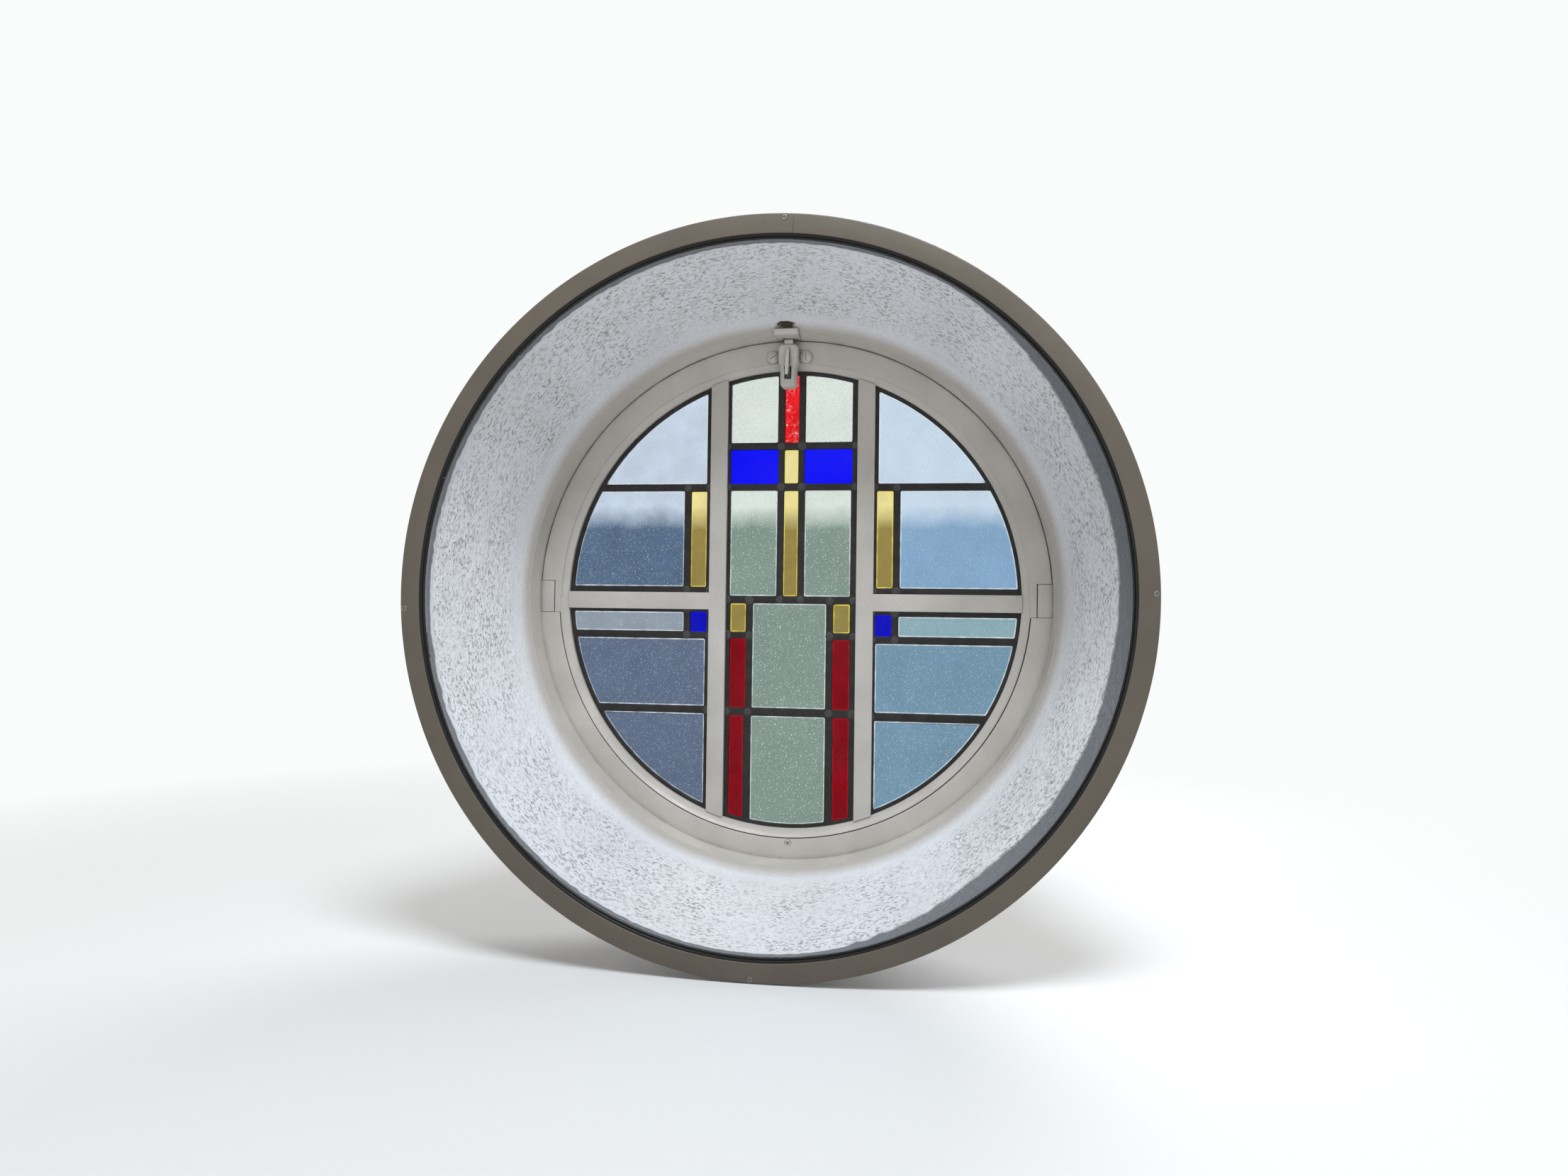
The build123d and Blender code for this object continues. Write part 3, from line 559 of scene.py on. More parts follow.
def lathed(profile, x, z, sides=40):
    """A profile of radius and depth turned about a line through x and z, closed at both ends."""
    verts, faces, count = [], [], len(profile)
    for i in range(sides):
        angle = 2 * math.pi * i / sides
        verts += [(x + r * math.cos(angle), depth, z + r * math.sin(angle)) for r, depth in profile]
    for i in range(sides):
        a, b = i * count, ((i + 1) % sides) * count
        faces += [(a + j, a + j + 1, b + j + 1, b + j) for j in range(count - 1)]
    faces.append(tuple(i * count for i in range(sides)))
    faces.append(tuple(i * count + count - 1 for i in range(sides))[::-1])
    return verts, faces


def turned_block(low, high, degrees, place):
    """A box between two corners, turned about its depth and moved to a place."""
    spin = Matrix.Rotation(math.radians(degrees), 3, "Y")
    verts, faces = block(low, high)
    return [tuple(spin @ Vector(p) + Vector(place)) for p in verts], faces


def worked(solid, cuts=(), joins=(), soften=0.0, steps=3, angle=32):
    """A solid with others cut from it or joined to it, then its edges rounded."""
    holder = add_object("work", mesh_of(*solid))
    helpers = []
    for operation, group in (("UNION", joins), ("DIFFERENCE", cuts)):
        for other in group:
            helper = add_object("helper", mesh_of(*other))
            helpers.append(helper)
            step = holder.modifiers.new("step", "BOOLEAN")
            step.operation = operation
            step.solver = "EXACT"
            step.object = helper
    if soften:
        step = holder.modifiers.new("edges", "BEVEL")
        step.width = soften * MM
        step.segments = steps
        step.limit_method = "ANGLE"
        step.angle_limit = math.radians(angle)
        step.use_clamp_overlap = True
    bpy.context.view_layer.update()
    shaped = bpy.data.meshes.new_from_object(holder.evaluated_get(bpy.context.evaluated_depsgraph_get()))
    for thing in [holder, *helpers]:
        bpy.data.objects.remove(thing)
    return shaped


def solid_of(mesh):
    """A mesh's vertices, in millimetres, and faces."""
    return [tuple(c / MM for c in v.co) for v in mesh.vertices], [tuple(p.vertices) for p in mesh.polygons]


def wobble(mesh, amount, size, seed=0.0):
    """Moves a mesh's points a little, smoothly over its surface, as hand work does."""
    for v in mesh.vertices:
        shift = noise.noise_vector(v.co / (size * MM) + Vector((seed, seed, seed)))
        v.co += shift * (amount * MM)
    return mesh


def joined(parts):
    """Several lists of vertices and faces as one."""
    verts, faces = [], []
    for v, f in parts:
        base = len(verts)
        verts += v
        faces += [tuple(base + i for i in face) for face in f]
    return verts, faces


# Room ring, its screws and the gasket


def round_point(radius, degrees):
    """The point, across and up, at an angle on a circle about the window's axis."""
    return radius * math.cos(math.radians(degrees)), radius * math.sin(math.radians(degrees))


def sink(x, z, y, depth, mouth, foot):
    """The cone cut into a face at y for the head of a screw."""
    return rod((x, y - 0.5, z), (x, y + depth, z), mouth, foot)


def screw(x, z, y, head, shank, length, turn):
    """A countersunk cross-head screw, its head set just under the surface at y."""
    top = y + 0.25
    profile = [(0.02, top), (head * 0.8, top + 0.05), (head, top + 0.25)]
    profile += [(shank, top + head - shank), (shank, top + length), (0.02, top + length)]
    reach, half = head * 0.55, head * 0.17
    arms = [turned_block((-reach, -1, -half), (reach, 1.6, half), turn + k, (x, top, z)) for k in (0, 90)]
    return worked(lathed(profile, x, z), cuts=arms, soften=0.12, steps=2, angle=40)


RING_SEGMENTS, RING_SEAM, GASKET_JOINT = 300, 85.62, 160.5
ring_profile = rounded(
    [
        (RING_BORE_R, WALL_Y, 0.2),
        (RING_BORE_R, RING_FRONT_Y + SKIN, 1.3),
        (RING_R - SKIN, RING_FRONT_Y + SKIN, 1.8),
        (RING_R - SKIN, WALL_Y, 0.2),
    ]
)
ring_screws = {place: round_point(RING_SCREW_R, angle) for place, angle in RING_SCREW_ANGLES.items()}
sinks = [sink(x, z, RING_FRONT_Y, 2.6, 5.3, 2.1) for x, z in ring_screws.values()]
ring = worked(turned(ring_profile, RING_SEGMENTS, RING_SEAM + 0.03, RING_SEAM + 359.97), cuts=sinks)
put("room_ring_painted", wobble(ring, 0.12, 60), SHADED_RING_PAINT, "root", "room_ring", slot="ring_paint")

for place, (x, z) in ring_screws.items():
    head = screw(x, z, RING_FRONT_Y, 3.9, 2.0, 31.5, 17 + RING_SCREW_ANGLES[place])
    put(f"ring_screw_{place}", head, STEEL, "root", "ring_screws", slot="screw_steel")
stop_screw = screw(*STOP_SCREW, FACE_Y, 4.5, 2.2, 15.5, 32)
put("stop_screw_head", stop_screw, PAINT, "root", "stop_screw", slot="screw_steel")

gasket_profile = rounded(
    [
        (GASKET_BORE_R, WALL_Y, 0.1),
        (GASKET_BORE_R, WALL_Y - 1.9, 0.9),
        (468.9, WALL_Y - 2.3, 0.5),
        (469.6, WALL_Y - 1.5, 0.4),
        (470.6, WALL_Y - 3.6, 1.0),
        (473.3, WALL_Y - 4.3, 0.5),
        (473.4, WALL_Y, 0.1),
    ]
)
gasket = turned(gasket_profile, RING_SEGMENTS, GASKET_JOINT + 0.12, GASKET_JOINT + 359.88)
put("gasket_bead", wobble(mesh_of(*gasket), 0.15, 45), RUBBER, "root", "ring_gasket", slot="gasket_rubber")

# Plaster lining, with its pits and ridges modelled

PIT_SPACING, PIT_LENGTH, PIT_REACH, PIT_DEPTH = 5.2, 2.2, 0.29, 1.6
LINING_SEGMENTS, LINING_STEP = 850, 2.05
CHIP_Y, CHIP_HALF_WIDTH, CHIP_HALF_DEPTH = -57.5, 14, 6.5


def held(value):
    """A number held between 0 and 1."""
    return min(1.0, max(0.0, value))


def plaster_form(angle, depth):
    """The plaster's slow swell, its ridges and how deep it is pitted, at a place on the reveal."""
    place = Vector((math.cos(angle) * 430, depth, math.sin(angle) * 430))
    swell = noise.noise(place / 85.0) * 0.9
    along = Vector((place.x / PIT_LENGTH, place.y, place.z / PIT_LENGTH))
    ridges = noise.noise(along / 5.5) * 0.8 + noise.noise(along / 3.6 + Vector((9, 9, 9))) * 0.5
    near = noise.voronoi(along / PIT_SPACING)[0][0]
    crowd = held(0.75 + 1.2 * noise.noise(place / 60.0 + Vector((5, 1, 8))))
    pit = max(0.0, 1.0 - near / PIT_REACH) * crowd
    return swell, ridges, min(1.0, pit * 1.6)


def lining_profile():
    """The reveal's smooth line of radius and depth from the pane to the frame, in even steps."""
    corners = [
        (GASKET_BORE_R, PANE_BACK_Y, 0.0),
        (GASKET_BORE_R, THROAT_Y, 10.0),
        (COVE_R, COVE_Y, 18.0),
        ((COVE_R + FLARE_R) / 2 + 3.2, (COVE_Y + FRAME_FRONT_Y) / 2 + 3.2, 12.0),
        (FLARE_R, FRAME_FRONT_Y, 0.0),
    ]
    # Two more corners close the outline for the rounding and are dropped after it
    closing = [(FLARE_R + 60, 40, 0.0), (GASKET_BORE_R + 60, PANE_BACK_Y, 0.0)]
    line = [Vector(p) for p in rounded(corners + closing, 6)[:-2]]
    spaced = [line[0]]
    for a, b in zip(line, line[1:]):
        pieces = max(1, round((b - a).length / LINING_STEP))
        spaced += [a.lerp(b, k / pieces) for k in range(1, pieces + 1)]
    return spaced


inner_line = lining_profile()
outer_line = [(423.0, FRAME_FRONT_Y), (486.0, PANE_BACK_Y)]
verts = []
marks = {"pit": [], "strip": [], "rough": [], "cove": [], "chip": []}
for i in range(LINING_SEGMENTS):
    angle = 2 * math.pi * i / LINING_SEGMENTS
    cos, sin = math.cos(angle), math.sin(angle)
    # The unlit strip by the pane, a painted shade, is widest on the right, where the plaster flares
    toward = held((math.cos(angle + math.radians(12)) - 0.35) / 0.4)
    mouth = 11.5 + 36 * toward * (1.0 + 0.35 * noise.noise(Vector((cos * 3, sin * 3, 7))))
    ragged = 4.0 * noise.noise(Vector((cos * 40, sin * 40, 3)))
    for radius, depth in inner_line:
        swell, ridges, pit = plaster_form(angle, depth)
        from_pane, to_frame = depth - PANE_BACK_Y, FRAME_FRONT_Y - depth
        rough = min(held((from_pane - 14 - ragged) / 8), held((to_frame - 22 - ragged) / 25))
        hold = min(1.0, from_pane / 4, to_frame / 4)
        unlit = held((mouth + (1.0 - 0.6 * toward) * ragged - from_pane) / 2.0)
        crumbs = noise.noise(Vector((radius * cos, depth, 0)) / 3.0)
        across = (radius * cos - LATCH_X) / CHIP_HALF_WIDTH + 0.3 * crumbs
        along = (depth - CHIP_Y) / CHIP_HALF_DEPTH + 0.3 * crumbs
        chipped = max(0.0, 1 - math.hypot(across, along)) if sin > 0.9 else 0.0
        radius += 1.8 * toward * unlit * hold
        radius += -swell * hold * 0.8 - ridges * rough + PIT_DEPTH * pit * rough + 6.0 * min(1.0, 2 * chipped)
        verts.append((radius * cos, depth, radius * sin))
        marks["pit"].append(pit * rough)
        marks["strip"].append(unlit)
        marks["rough"].append(rough)
        marks["cove"].append(held((17 - to_frame) / 13))
        marks["chip"].append(min(1.0, 5.0 * chipped))
    for radius, depth in outer_line:
        verts.append((radius * cos, depth, radius * sin))
        for values in marks.values():
            values.append(0.0)
faces = ring_faces(LINING_SEGMENTS, LINING_SEGMENTS, len(inner_line) + len(outer_line))
lining = mesh_of(verts, faces)
for name, values in marks.items():
    lining.attributes.new(name, "FLOAT", "POINT").data.foreach_set("value", values)
put("reveal_plaster", lining, PLASTER, "root", "reveal_lining", slot="plaster", sharp=60)

# Fixed frame, stop beads and pivot blocks

frame_profile = rounded(
    [
        (FLARE_R, FRAME_FRONT_Y, 0.0),
        (FRAME_BORE_R, FACE_Y, 2.0),
        (FRAME_BORE_R, FRAME_BACK_Y - SKIN, 2.0),
        (FRAME_R, FRAME_BACK_Y - SKIN, 3.0),
        (FRAME_R, FRAME_FRONT_Y, 0.0),
    ]
)
mortise = block((LATCH_X - MORTISE_HALF, FRAME_FRONT_Y - 1, 380), (LATCH_X + MORTISE_HALF, -21.4, 400.2))
frame_ring = worked(turned(frame_profile), cuts=[mortise])
put("frame_ring", wobble(frame_ring, 0.15, 70), FIXED_PAINT, "root", "outer_frame", slot="frame_paint")

pivot_clearance = rod((-OUT, 0, 0), (OUT, 0, 0), POCKET_R, sides=72)
for name, node, start, front, back, holes in (
    ("inner_stop_bead", "inner_stop", 180.0, FACE_Y, -0.5, [sink(*STOP_SCREW, FACE_Y, 3.0, 6.0, 2.4)]),
    ("outer_stop_bead", "outer_stop", 0.0, 0.5, BACK_Y, []),
):
    section = [(STOP_R, front, 1.2), (STOP_OUTER_R, front, 0.0)]
    section += [(STOP_OUTER_R, back, 0.0), (STOP_R, back, 1.2)]
    bead = worked(turned(rounded(section), 160, start, start + 180.0), cuts=[pivot_clearance, *holes])
    put(name, wobble(bead, 0.12, 50, 3.0), FIXED_PAINT, "root", node, slot="frame_paint")

block_turn = math.degrees(math.asin(BACK_Y / BLOCK_R))
block_arc = [round_point(BLOCK_R, 90 + block_turn - 2 * block_turn * i / 16) for i in range(17)]
block_line = block_arc + [(-y, -z) for y, z in block_arc]
frame_body = turned([(BLOCK_END_R, -40), (410, -40), (410, 40), (BLOCK_END_R, 40)], 576)
for side, node in ((-1, "pivot_block_left"), (1, "pivot_block_right")):
    drum = prism(block_line, *sorted((side * BLOCK_X, side * 392)), "yz")
    block_mesh = worked(drum, cuts=[frame_body], soften=0.8)
    put(f"{node}_painted", wobble(block_mesh, 0.1, 30), PAINT, "root", node, slot="frame_paint")

# Sash ring and bars

HOLLOW_BEVEL = [(SIGHT_R, -12.4), (346.5, -12.7), (350.0, -13.7), (353.0, -15.3), (354.9, -17.2)]
core_line = [(SIGHT_R, SHOULDER_Y), *HOLLOW_BEVEL]
core_line += [(BEVEL_R, FACE_Y), (BEVEL_R, BACK_Y), (REBATE_R, BACK_Y), (REBATE_R, SHOULDER_Y)]
core = turned(core_line, 240)
whole_flange = [(BEVEL_R - 2, 0), (SASH_R, 0), (SASH_R, FACE_Y), (BEVEL_R - 2, FACE_Y)]
upper = turned(whole_flange, 120, 0.0, 180.0)
lower = turned([(r, -d) for r, d in whole_flange], 120, 180.0, 360.0)
pockets = [rod((s * POCKET_X, 0, 0), (s * OUT, 0, 0), POCKET_R, sides=72) for s in (-1, 1)]
ear_turn = math.degrees(math.asin(BACK_Y / EAR_R))
ear_arc = [round_point(EAR_R, 90 - ear_turn * i / 12) for i in range(13)]
ear_back = BACK_Y - 0.02
ear_line = [(min(y, ear_back), z) for y, z in ear_arc] + [(ear_back, -0.5), (-0.5, -0.5), (-0.5, EAR_R)]
inside_ring = rod((0, -30, 0), (0, 30, 0), BEVEL_R - 0.1, sides=720)
ears = []
for s in (-1, 1):
    for quarter in (ear_line, [(-y, -z) for y, z in ear_line]):
        socket = rod((s * 340, 0, 0), (s * 380, 0, 0), BUSH_R)
        ear = worked(prism(quarter, *sorted((s * 345, s * POCKET_X)), "yz"), cuts=[inside_ring, socket])
        ears.append(solid_of(ear))
sockets = [rod((s * 350.8, 0, 0), (s * OUT, 0, 0), BUSH_R) for s in (-1, 1)]
sash = worked(core, joins=[upper, lower], cuts=pockets + sockets, soften=1.1)
sash = mesh_of(*joined([solid_of(sash), *ears]))
put("sash_ring_painted", wobble(sash, 0.12, 50, 5.0), PAINT, "sash", "sash_ring", slot="frame_paint")


def outline_of(edges, grow, arc_r, corner, spacing=6.0):
    """The rectangle and disc that bound a light, as one dense outline with rounded corners, anticlockwise."""
    left, right, foot, head = edges
    left, right = max(left - grow, -arc_r), min(right + grow, arc_r)
    foot, head = max(foot - grow, -arc_r), min(head + grow, arc_r)
    box = [(left, foot), (right, foot), (right, head), (left, head)]
    sides = []
    for k, start in enumerate(box):
        axis, end = k % 2, box[(k + 1) % 4]
        across = start[1 - axis]
        if abs(across) >= arc_r - 1e-6:
            continue
        reach = math.sqrt(arc_r * arc_r - across * across)
        ends = [max(-reach, min(reach, point[axis])) for point in (start, end)]
        if abs(ends[1] - ends[0]) > 1e-3:
            sides.append([(across, along) if axis else (along, across) for along in ends])
    points = []
    for k, (a, b) in enumerate(sides):
        points += [(*a, corner), (*b, corner)]
        following = sides[(k + 1) % len(sides)][0]
        if math.dist(following, b) > 0.5:
            t0, t1 = math.atan2(b[1], b[0]), math.atan2(following[1], following[0])
            while t1 < t0:
                t1 += 2 * math.pi
            cuts = max(2, int(arc_r * (t1 - t0) / spacing))
            for j in range(1, cuts):
                t = t0 + (t1 - t0) * j / cuts
                points.append((arc_r * math.cos(t), arc_r * math.sin(t), 0.0))
    unique = []
    for point in points:
        if not unique or math.dist(point[:2], unique[-1][:2]) > 1e-3:
            unique.append(point)
    if math.dist(unique[0][:2], unique[-1][:2]) < 1e-3:
        unique.pop()
    return rounded(unique, 5)


def grown(outline, amount):
    """An outline moved outwards, point by point."""
    count, out = len(outline), []
    for i in range(count):
        a, b, c = (Vector(outline[j % count]) for j in (i - 1, i, i + 1))
        first, second = (b - a).normalized(), (c - b).normalized()
        normal = Vector((first.y + second.y, -first.x - second.x))
        if normal.length < 1e-6:
            out.append(tuple(b))
            continue
        normal.normalize()
        out.append(tuple(b + normal * amount / max(0.5, normal.dot(Vector((first.y, -first.x))))))
    return out


def strip(face_edges, tongue_edges, name):
    """A glazing bar with rounded, thickly painted edges and a tongue behind."""
    face = prism(outline_of(face_edges, 0, SIGHT_R + 0.6, 0.0), BAR_FACE_Y, SHOULDER_Y)
    tongue = prism(outline_of(tongue_edges, 0, REBATE_R - 0.1, 0.0), SHOULDER_Y - 0.5, BAR_BACK_Y)
    bar = worked(face, joins=[tongue], soften=1.5, steps=4)
    put(f"{name}_painted", wobble(bar, 0.15, 40, 8.0), PAINT, "sash", name, slot="frame_paint")


for name, x in (("bar_left", BAR_LEFT_X), ("bar_right", BAR_RIGHT_X)):
    strip((x - BAR_HALF, x + BAR_HALF, -FAR, FAR), (x - TONGUE_HALF, x + TONGUE_HALF, -FAR, FAR), name)
# The crossbars' faces lap 0.4 mm into the upright bars, and their tongues end at the uprights' tongues
edges = (FOOT_EDGE, HEAD_EDGE)
tongue_edges = (CROSSBAR_Z - TONGUE_HALF, CROSSBAR_Z + TONGUE_HALF)
strip((-FAR, LEFT_EDGE + 0.4, *edges), (-FAR, BAR_LEFT_X - 6.4, *tongue_edges), "crossbar_left")
strip((RIGHT_EDGE - 0.4, FAR, *edges), (BAR_RIGHT_X + 6.4, FAR, *tongue_edges), "crossbar_right")

# Lead nets, solder and glass

CAME_ROUND, CAME_HALF, WELD = 1.15, 5, 0.00002
# The loops of each face of a sheet of glass, by how far they lie outside the light, and how much painted
# highlight each carries
GLASS_LOOPS = (TUCK, 0.3, -1.1, -2.0)
LOOPS_LIT = (0.0, 1.0, 1.0, 0.0)


def filled(outer, holes, depth, facing):
    """A flat face with holes, as triangles at one depth."""
    work = bmesh.new()
    edges = []
    for loop in [outer, *holes]:
        ring = [work.verts.new((x, depth, z)) for x, z in loop]
        edges += [work.edges.new((ring[i], ring[(i + 1) % len(ring)])) for i in range(len(ring))]
    bmesh.ops.triangle_fill(work, edges=edges, use_beauty=True, use_dissolve=False, normal=(0, facing, 0))
    work.verts.index_update()
    verts = [tuple(v.co) for v in work.verts]
    faces = [tuple(v.index for v in f.verts) for f in work.faces]
    work.free()
    return verts, faces


def banded(outline, steps):
    """A skin that follows an outline through steps of growth and depth."""
    verts = []
    for grow, depth in steps:
        verts += [(x, depth, z) for x, z in (grown(outline, grow) if grow else outline)]
    return verts, band_faces(len(steps) - 1, len(outline))


def came_edge(face, glass):
    """The rounded edge of a came's flange, from its face down to the glass."""
    r, side = CAME_ROUND, 1 if glass > face else -1
    angles = [math.radians(90 * k / 4) for k in range(5)]
    steps = [(r - r * math.sin(a), face + side * (r - r * math.cos(a))) for a in angles]
    return steps + [(0.0, glass)]


def solder_blob(x, z, radius):
    """A low lump of solder over the meeting of two cames."""
    rings, sides = [(1.0, 0.05), (0.86, -0.28), (0.6, -0.55), (0.3, -0.7)], 20
    verts = []
    for share, rise in rings:
        reach = radius * share
        for i in range(sides):
            angle = 2 * math.pi * i / sides
            verts.append((x + reach * math.cos(angle), LEAD_FRONT_Y + rise, z + reach * math.sin(angle)))
    verts.append((x, LEAD_FRONT_Y - 0.74, z))
    faces = band_faces(len(rings) - 1, sides)
    last = (len(rings) - 1) * sides
    faces += [(last + i, last + (i + 1) % sides, len(verts) - 1) for i in range(sides)]
    faces.append(tuple(range(sides))[::-1])
    return verts, faces


def meetings(lights):
    """The middles of the places where cames meet at the corners of lights."""
    corners = []
    for left, right, foot, head in lights:
        for x, dx in ((left, -CAME_HALF), (right, CAME_HALF)):
            for z, dz in ((foot, -CAME_HALF), (head, CAME_HALF)):
                if abs(x) < FAR and abs(z) < FAR and math.hypot(x + dx, z + dz) < LEAD_R - 8:
                    corners.append(Vector((x + dx, z + dz)))
    middles = []
    while corners:
        near = [c for c in corners if (c - corners[0]).length < 13]
        corners = [c for c in corners if c not in near]
        middles.append(sum(near, Vector((0, 0))) / len(near))
    return middles


groove_front, groove_back = GLASS_FRONT_Y - 0.05, GLASS_BACK_Y + 0.05
groove = [(TUCK + 0.1, groove_front), (TUCK + 0.1, groove_back)]
light_edge = came_edge(LEAD_FRONT_Y, groove_front) + groove + came_edge(LEAD_BACK_Y, groove_back)[::-1]
for panel, colours in LIGHTS.items():
    panel_lights = [light for group in colours.values() for light in group]
    lights = [outline_of(light, 0, ARC_LIGHT_R, LIGHT_CORNER) for light in panel_lights]
    rim = outline_of(APERTURES[panel], 5.5, LEAD_R, 0.0)
    openings = [grown(light, CAME_ROUND) for light in lights]
    parts = [filled(rim, openings, LEAD_FRONT_Y, -1), filled(rim, openings, LEAD_BACK_Y, 1)]
    parts.append(banded(rim, [(0, LEAD_FRONT_Y), (0, LEAD_BACK_Y)]))
    parts += [banded(light, light_edge) for light in lights]
    net = turned_out(mesh_of(*joined(parts)), WELD)
    put(f"lead_net_{panel}", wobble(net, 0.12, 14, 2.0), LEAD, "sash", f"leads_{panel}", slot="lead")

    blobs = [solder_blob(spot.x, spot.y, random.uniform(5.6, 7.0)) for spot in meetings(panel_lights)]
    put(f"solder_{panel}", wobble(mesh_of(*joined(blobs)), 0.35, 5, 6.0), SOLDER, "sash", slot="lead")

    for colour, group in colours.items():
        parts, edge_highlight_marks = [], []
        for light in group:
            loop = outline_of(light, 0, ARC_LIGHT_R, LIGHT_CORNER)
            for depth, facing in ((GLASS_FRONT_Y, -1), (GLASS_BACK_Y, 1)):
                cap = filled(grown(loop, GLASS_LOOPS[-1]), [], depth, facing)
                parts += [banded(loop, [(grow, depth) for grow in GLASS_LOOPS]), cap]
                edge_highlight_marks += [lit for lit in LOOPS_LIT for _ in loop] + [0.0] * len(cap[0])
            parts.append(banded(loop, [(TUCK, GLASS_FRONT_Y), (TUCK, GLASS_BACK_Y)]))
            edge_highlight_marks += [0.0] * len(parts[-1][0])
        sheets = raw_mesh(*joined(parts))
        sheets.attributes.new("rim", "FLOAT", "POINT").data.foreach_set("value", edge_highlight_marks)
        turned_out(sheets, WELD)
        material = GLASSES.get(f"{panel}_{colour}") or GLASSES[colour]
        name, node = f"{panel}_{colour}_panes", f"glass_{panel}_{colour}"
        put(name, sheets, material, "sash", node, slot=f"{colour}_glass", sharp=60)

# Latch


def pillow(outline, steps):
    """A closed solid that follows an outline through steps of growth and depth."""
    verts, faces = banded(outline, steps)
    count, last = len(outline), len(verts) - len(outline)
    return verts, faces + [tuple(range(count)), tuple(range(last, last + count))[::-1]]


def beside_latch(half_width, low_y, low_z, high_y, high_z):
    """A box centred on the latch, used to cut or to join."""
    return block((LATCH_X - half_width, low_y, low_z), (LATCH_X + half_width, high_y, high_z))


CASE_BACK_Y = FACE_Y + 0.2
case_half = [(11, 379), (15, 375), (15, 353), (11.8, 345), (11.8, 318), (7.8, 314)]
case_line = [(x + LATCH_X, z, 3.5) for x, z in [(-x, z) for x, z in case_half] + case_half[::-1]]
case_steps = [(0.4, CASE_BACK_Y), (0, -20.0), (0, -31.5), (-0.7, -34.2), (-2.6, -36.0)]
case = pillow(rounded(case_line, 5), case_steps)
screw_xs = {"left": LATCH_X - LATCH_SCREW_X, "right": LATCH_X + LATCH_SCREW_X}
lugs = []
for x in screw_xs.values():
    lugs.append(rod((x, -23.2, LATCH_SCREW_Z), (x, CASE_BACK_Y, LATCH_SCREW_Z), 8.6, 9.2, 40))
neck = beside_latch(LATCH_SCREW_X, -21.6, 355.4, CASE_BACK_Y, 367.4)
bolt_way = beside_latch(6.6, -31.5, 323, -21.5, 400)
fin_way = beside_latch(2.5, -40, 326, -30, 372)
fin_way_in = beside_latch(5.3, -40, 326, -30, 345)
body = worked(case, joins=[*lugs, neck], cuts=[bolt_way, fin_way, fin_way_in], soften=1.3, steps=4)
put("latch_case", wobble(body, 0.3, 9, 4.0), LATCH_PAINT, "sash", "latch_body", slot="latch_paint")

top = -23.1
dome = [(0.05, top - 1.6), (3.0, top - 1.5), (5.0, top - 1.1), (6.3, top - 0.4), (6.6, top)]
dome += [(2.5, top), (2.5, FACE_Y), (0.05, FACE_Y)]
for side, turn in (("left", -30.0), ("right", -95.0)):
    x, z = screw_xs[side], LATCH_SCREW_Z
    slot_cut = turned_block((-8, -2.5, -0.65), (8, -0.5, 0.65), turn, (x, top, z))
    head = worked(lathed(dome, x, z), cuts=[slot_cut], soften=0.2, steps=2)
    put(f"latch_screw_{side}", head, LATCH_PAINT, "sash", "latch_screws", slot="latch_paint")

bolt_bar = beside_latch(6.3, -31.2, 348, -21.8, 386.4)
fin_line = [(-38.3, 372), (-36.3, 372), (-36.3, 363), (-30.2, 363), (-30.2, 349), (-36.3, 349), (-36.3, 338)]
fin_line += [(-49.9, 330), (-50.0, 334), (-49.4, 342), (-47.6, 351), (-44.6, 360), (-41.2, 367.5)]
fin = prism(fin_line, LATCH_X - 2.2, LATCH_X + 2.2, "yz")
bolt = worked(bolt_bar, joins=[fin], soften=0.7)
put("latch_bolt_and_fin", bolt, HIGHLIT_BOLT_PAINT, "bolt", "latch_bolt", slot="latch_paint")

keep_line = [(-21.8, 386.9), (-57.5, 386.9), (-62, 391.4), (-62, 395.5)]
keep_line += [(-57.5, 395.5), (-48, 390.6), (-48, 400), (-21.8, 400)]
keep = prism(keep_line, LATCH_X - 18, LATCH_X + 18, "yz")
# Rounded before its slot is cut, because rounding a slotted keep leaves a flap across the slot
keep_body = solid_of(worked(keep, soften=3.0, steps=5))
keep_mesh = wobble(worked(keep_body, cuts=[beside_latch(8.2, -32.4, 300, 0, 398)], soften=0.6), 0.5, 11)
put("latch_keep_painted", keep_mesh, LATCH_PAINT, "root", "latch_keep", slot="latch_paint")

# Pieces that keep their own solids

for node, material in (
    ("inner_pane", PANE),
    ("pivot_pins", STEEL),
    ("pivot_bushes", BRASS),
    ("glazing_putty", PUTTY),
    ("latch_spring", SPRING_STEEL),
):
    mesh = nodes[node].data
    mesh.materials.clear()
    mesh.materials.append(material)

# Floor, light and camera

BACKDROP = (0.96, 0.97, 0.97)
FLOOR_Z = -0.5004
floor_mesh = bpy.data.meshes.new("floor")
floor_corners = [(x, y, FLOOR_Z) for x, y in ((-14, -8), (14, -8), (14, 20), (-14, 20))]
floor_mesh.from_pydata(floor_corners, [], [(0, 1, 2, 3)])
floor = add_object("floor", floor_mesh)
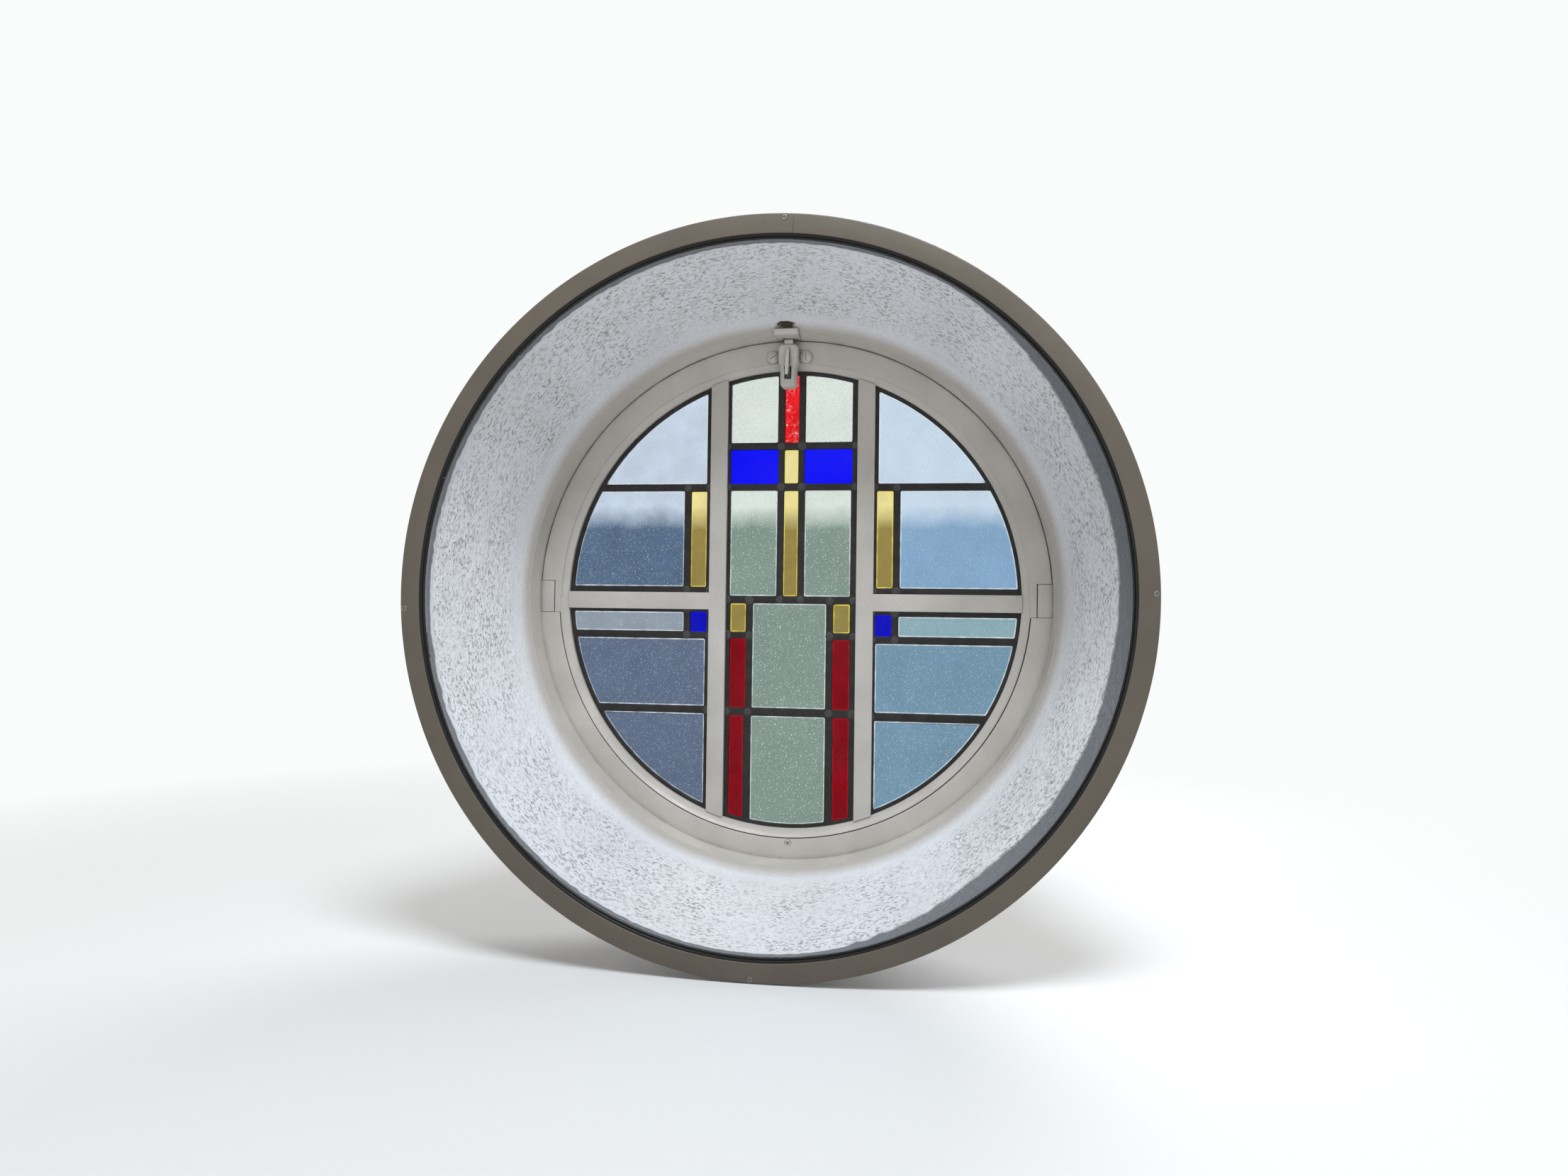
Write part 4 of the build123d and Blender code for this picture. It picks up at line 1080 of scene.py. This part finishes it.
# Near the window the floor is pale paper, and farther off it fades into the backdrop
paper = Surface("floor_paper", (0.80, 0.80, 0.79), 0.9)
paper.shader.inputs["Specular IOR Level"].default_value = 0.1
link = paper.tree.links.new
distance = paper.tree.nodes.new("ShaderNodeVectorMath")
distance.operation = "LENGTH"
link(paper.place, distance.inputs[0])
far = paper.ramp(paper.math("DIVIDE", distance.outputs["Value"], 3.0), [(0.22, 0.0), (0.75, 1.0)])
glow = paper.tree.nodes.new("ShaderNodeEmission")
glow.inputs["Color"].default_value = (*BACKDROP, 1.0)
fade = paper.tree.nodes.new("ShaderNodeMixShader")
link(far, fade.inputs["Fac"])
link(paper.shader.outputs[0], fade.inputs[1])
link(glow.outputs[0], fade.inputs[2])
link(fade.outputs[0], paper.tree.nodes["Material Output"].inputs["Surface"])
floor_mesh.materials.append(paper.material)

# The world lights the part softly, and shows the backdrop to the camera, in reflections and through glass
world = bpy.data.worlds.new("studio")
bpy.context.scene.world = world
world.use_nodes = True
tree = world.node_tree
link = tree.links.new
background = tree.nodes["Background"]
background.inputs["Color"].default_value = (1.0, 0.965, 0.93, 1.0)
background.inputs["Strength"].default_value = 0.37
seen = tree.nodes.new("ShaderNodeBackground")
seen.inputs["Color"].default_value = (*BACKDROP, 1.0)
seen.inputs["Strength"].default_value = 1.0
path = tree.nodes.new("ShaderNodeLightPath")
shown = path.outputs["Is Camera Ray"]
for ray in ("Is Glossy Ray", "Is Transmission Ray"):
    either = tree.nodes.new("ShaderNodeMath")
    either.operation = "MAXIMUM"
    link(shown, either.inputs[0])
    link(path.outputs[ray], either.inputs[1])
    shown = either.outputs[0]
blend = tree.nodes.new("ShaderNodeMixShader")
link(shown, blend.inputs["Fac"])
link(background.outputs[0], blend.inputs[1])
link(seen.outputs[0], blend.inputs[2])
link(blend.outputs[0], tree.nodes["World Output"].inputs["Surface"])


def lamp(name, place, target, size, power, color):
    """A round area lamp that points at its target."""
    light = bpy.data.lights.new(name, "AREA")
    light.shape = "DISK"
    light.size = size
    light.energy = power
    light.color = color
    holder = add_object(name, light)
    holder.location = place
    holder.rotation_euler = (Vector(target) - Vector(place)).to_track_quat("-Z", "Y").to_euler()


lamp("key", (0.45, -1.4, 2.3), (0, -0.1, -0.2), 1.0, 67, (0.87, 0.935, 1.0))
lamp("day", (0.9, 2.2, 1.8), (0, 0, 0), 1.8, 60, (0.95, 0.98, 1.0))

# The camera as fitted to the photo
SENSOR_WIDTH, FOCAL_PIXELS, PHOTO_PIXELS = 36.0, 1597.0, 2212.0
camera = bpy.data.cameras.new("camera")
camera.sensor_width = SENSOR_WIDTH
camera.lens = SENSOR_WIDTH * FOCAL_PIXELS / PHOTO_PIXELS
camera.clip_start = 0.01
yaw, pitch, roll = (math.radians(a) for a in (9.213, 1.407, 0.753))
forward = Vector((-math.sin(yaw) * math.cos(pitch), math.cos(yaw) * math.cos(pitch), math.sin(pitch)))
right = Vector((math.cos(yaw), math.sin(yaw), 0.0))
up = right.cross(forward)
tilted_right = right * math.cos(roll) + up * math.sin(roll)
tilted_up = up * math.cos(roll) - right * math.sin(roll)
eye = add_object("camera", camera)
place = Matrix((tilted_right, tilted_up, -forward)).transposed().to_4x4()
place.translation = Vector((0.2653, -1.6892, -0.0261))
eye.matrix_world = place
bpy.context.scene.camera = eye
bpy.context.scene.view_settings.view_transform = "Standard"
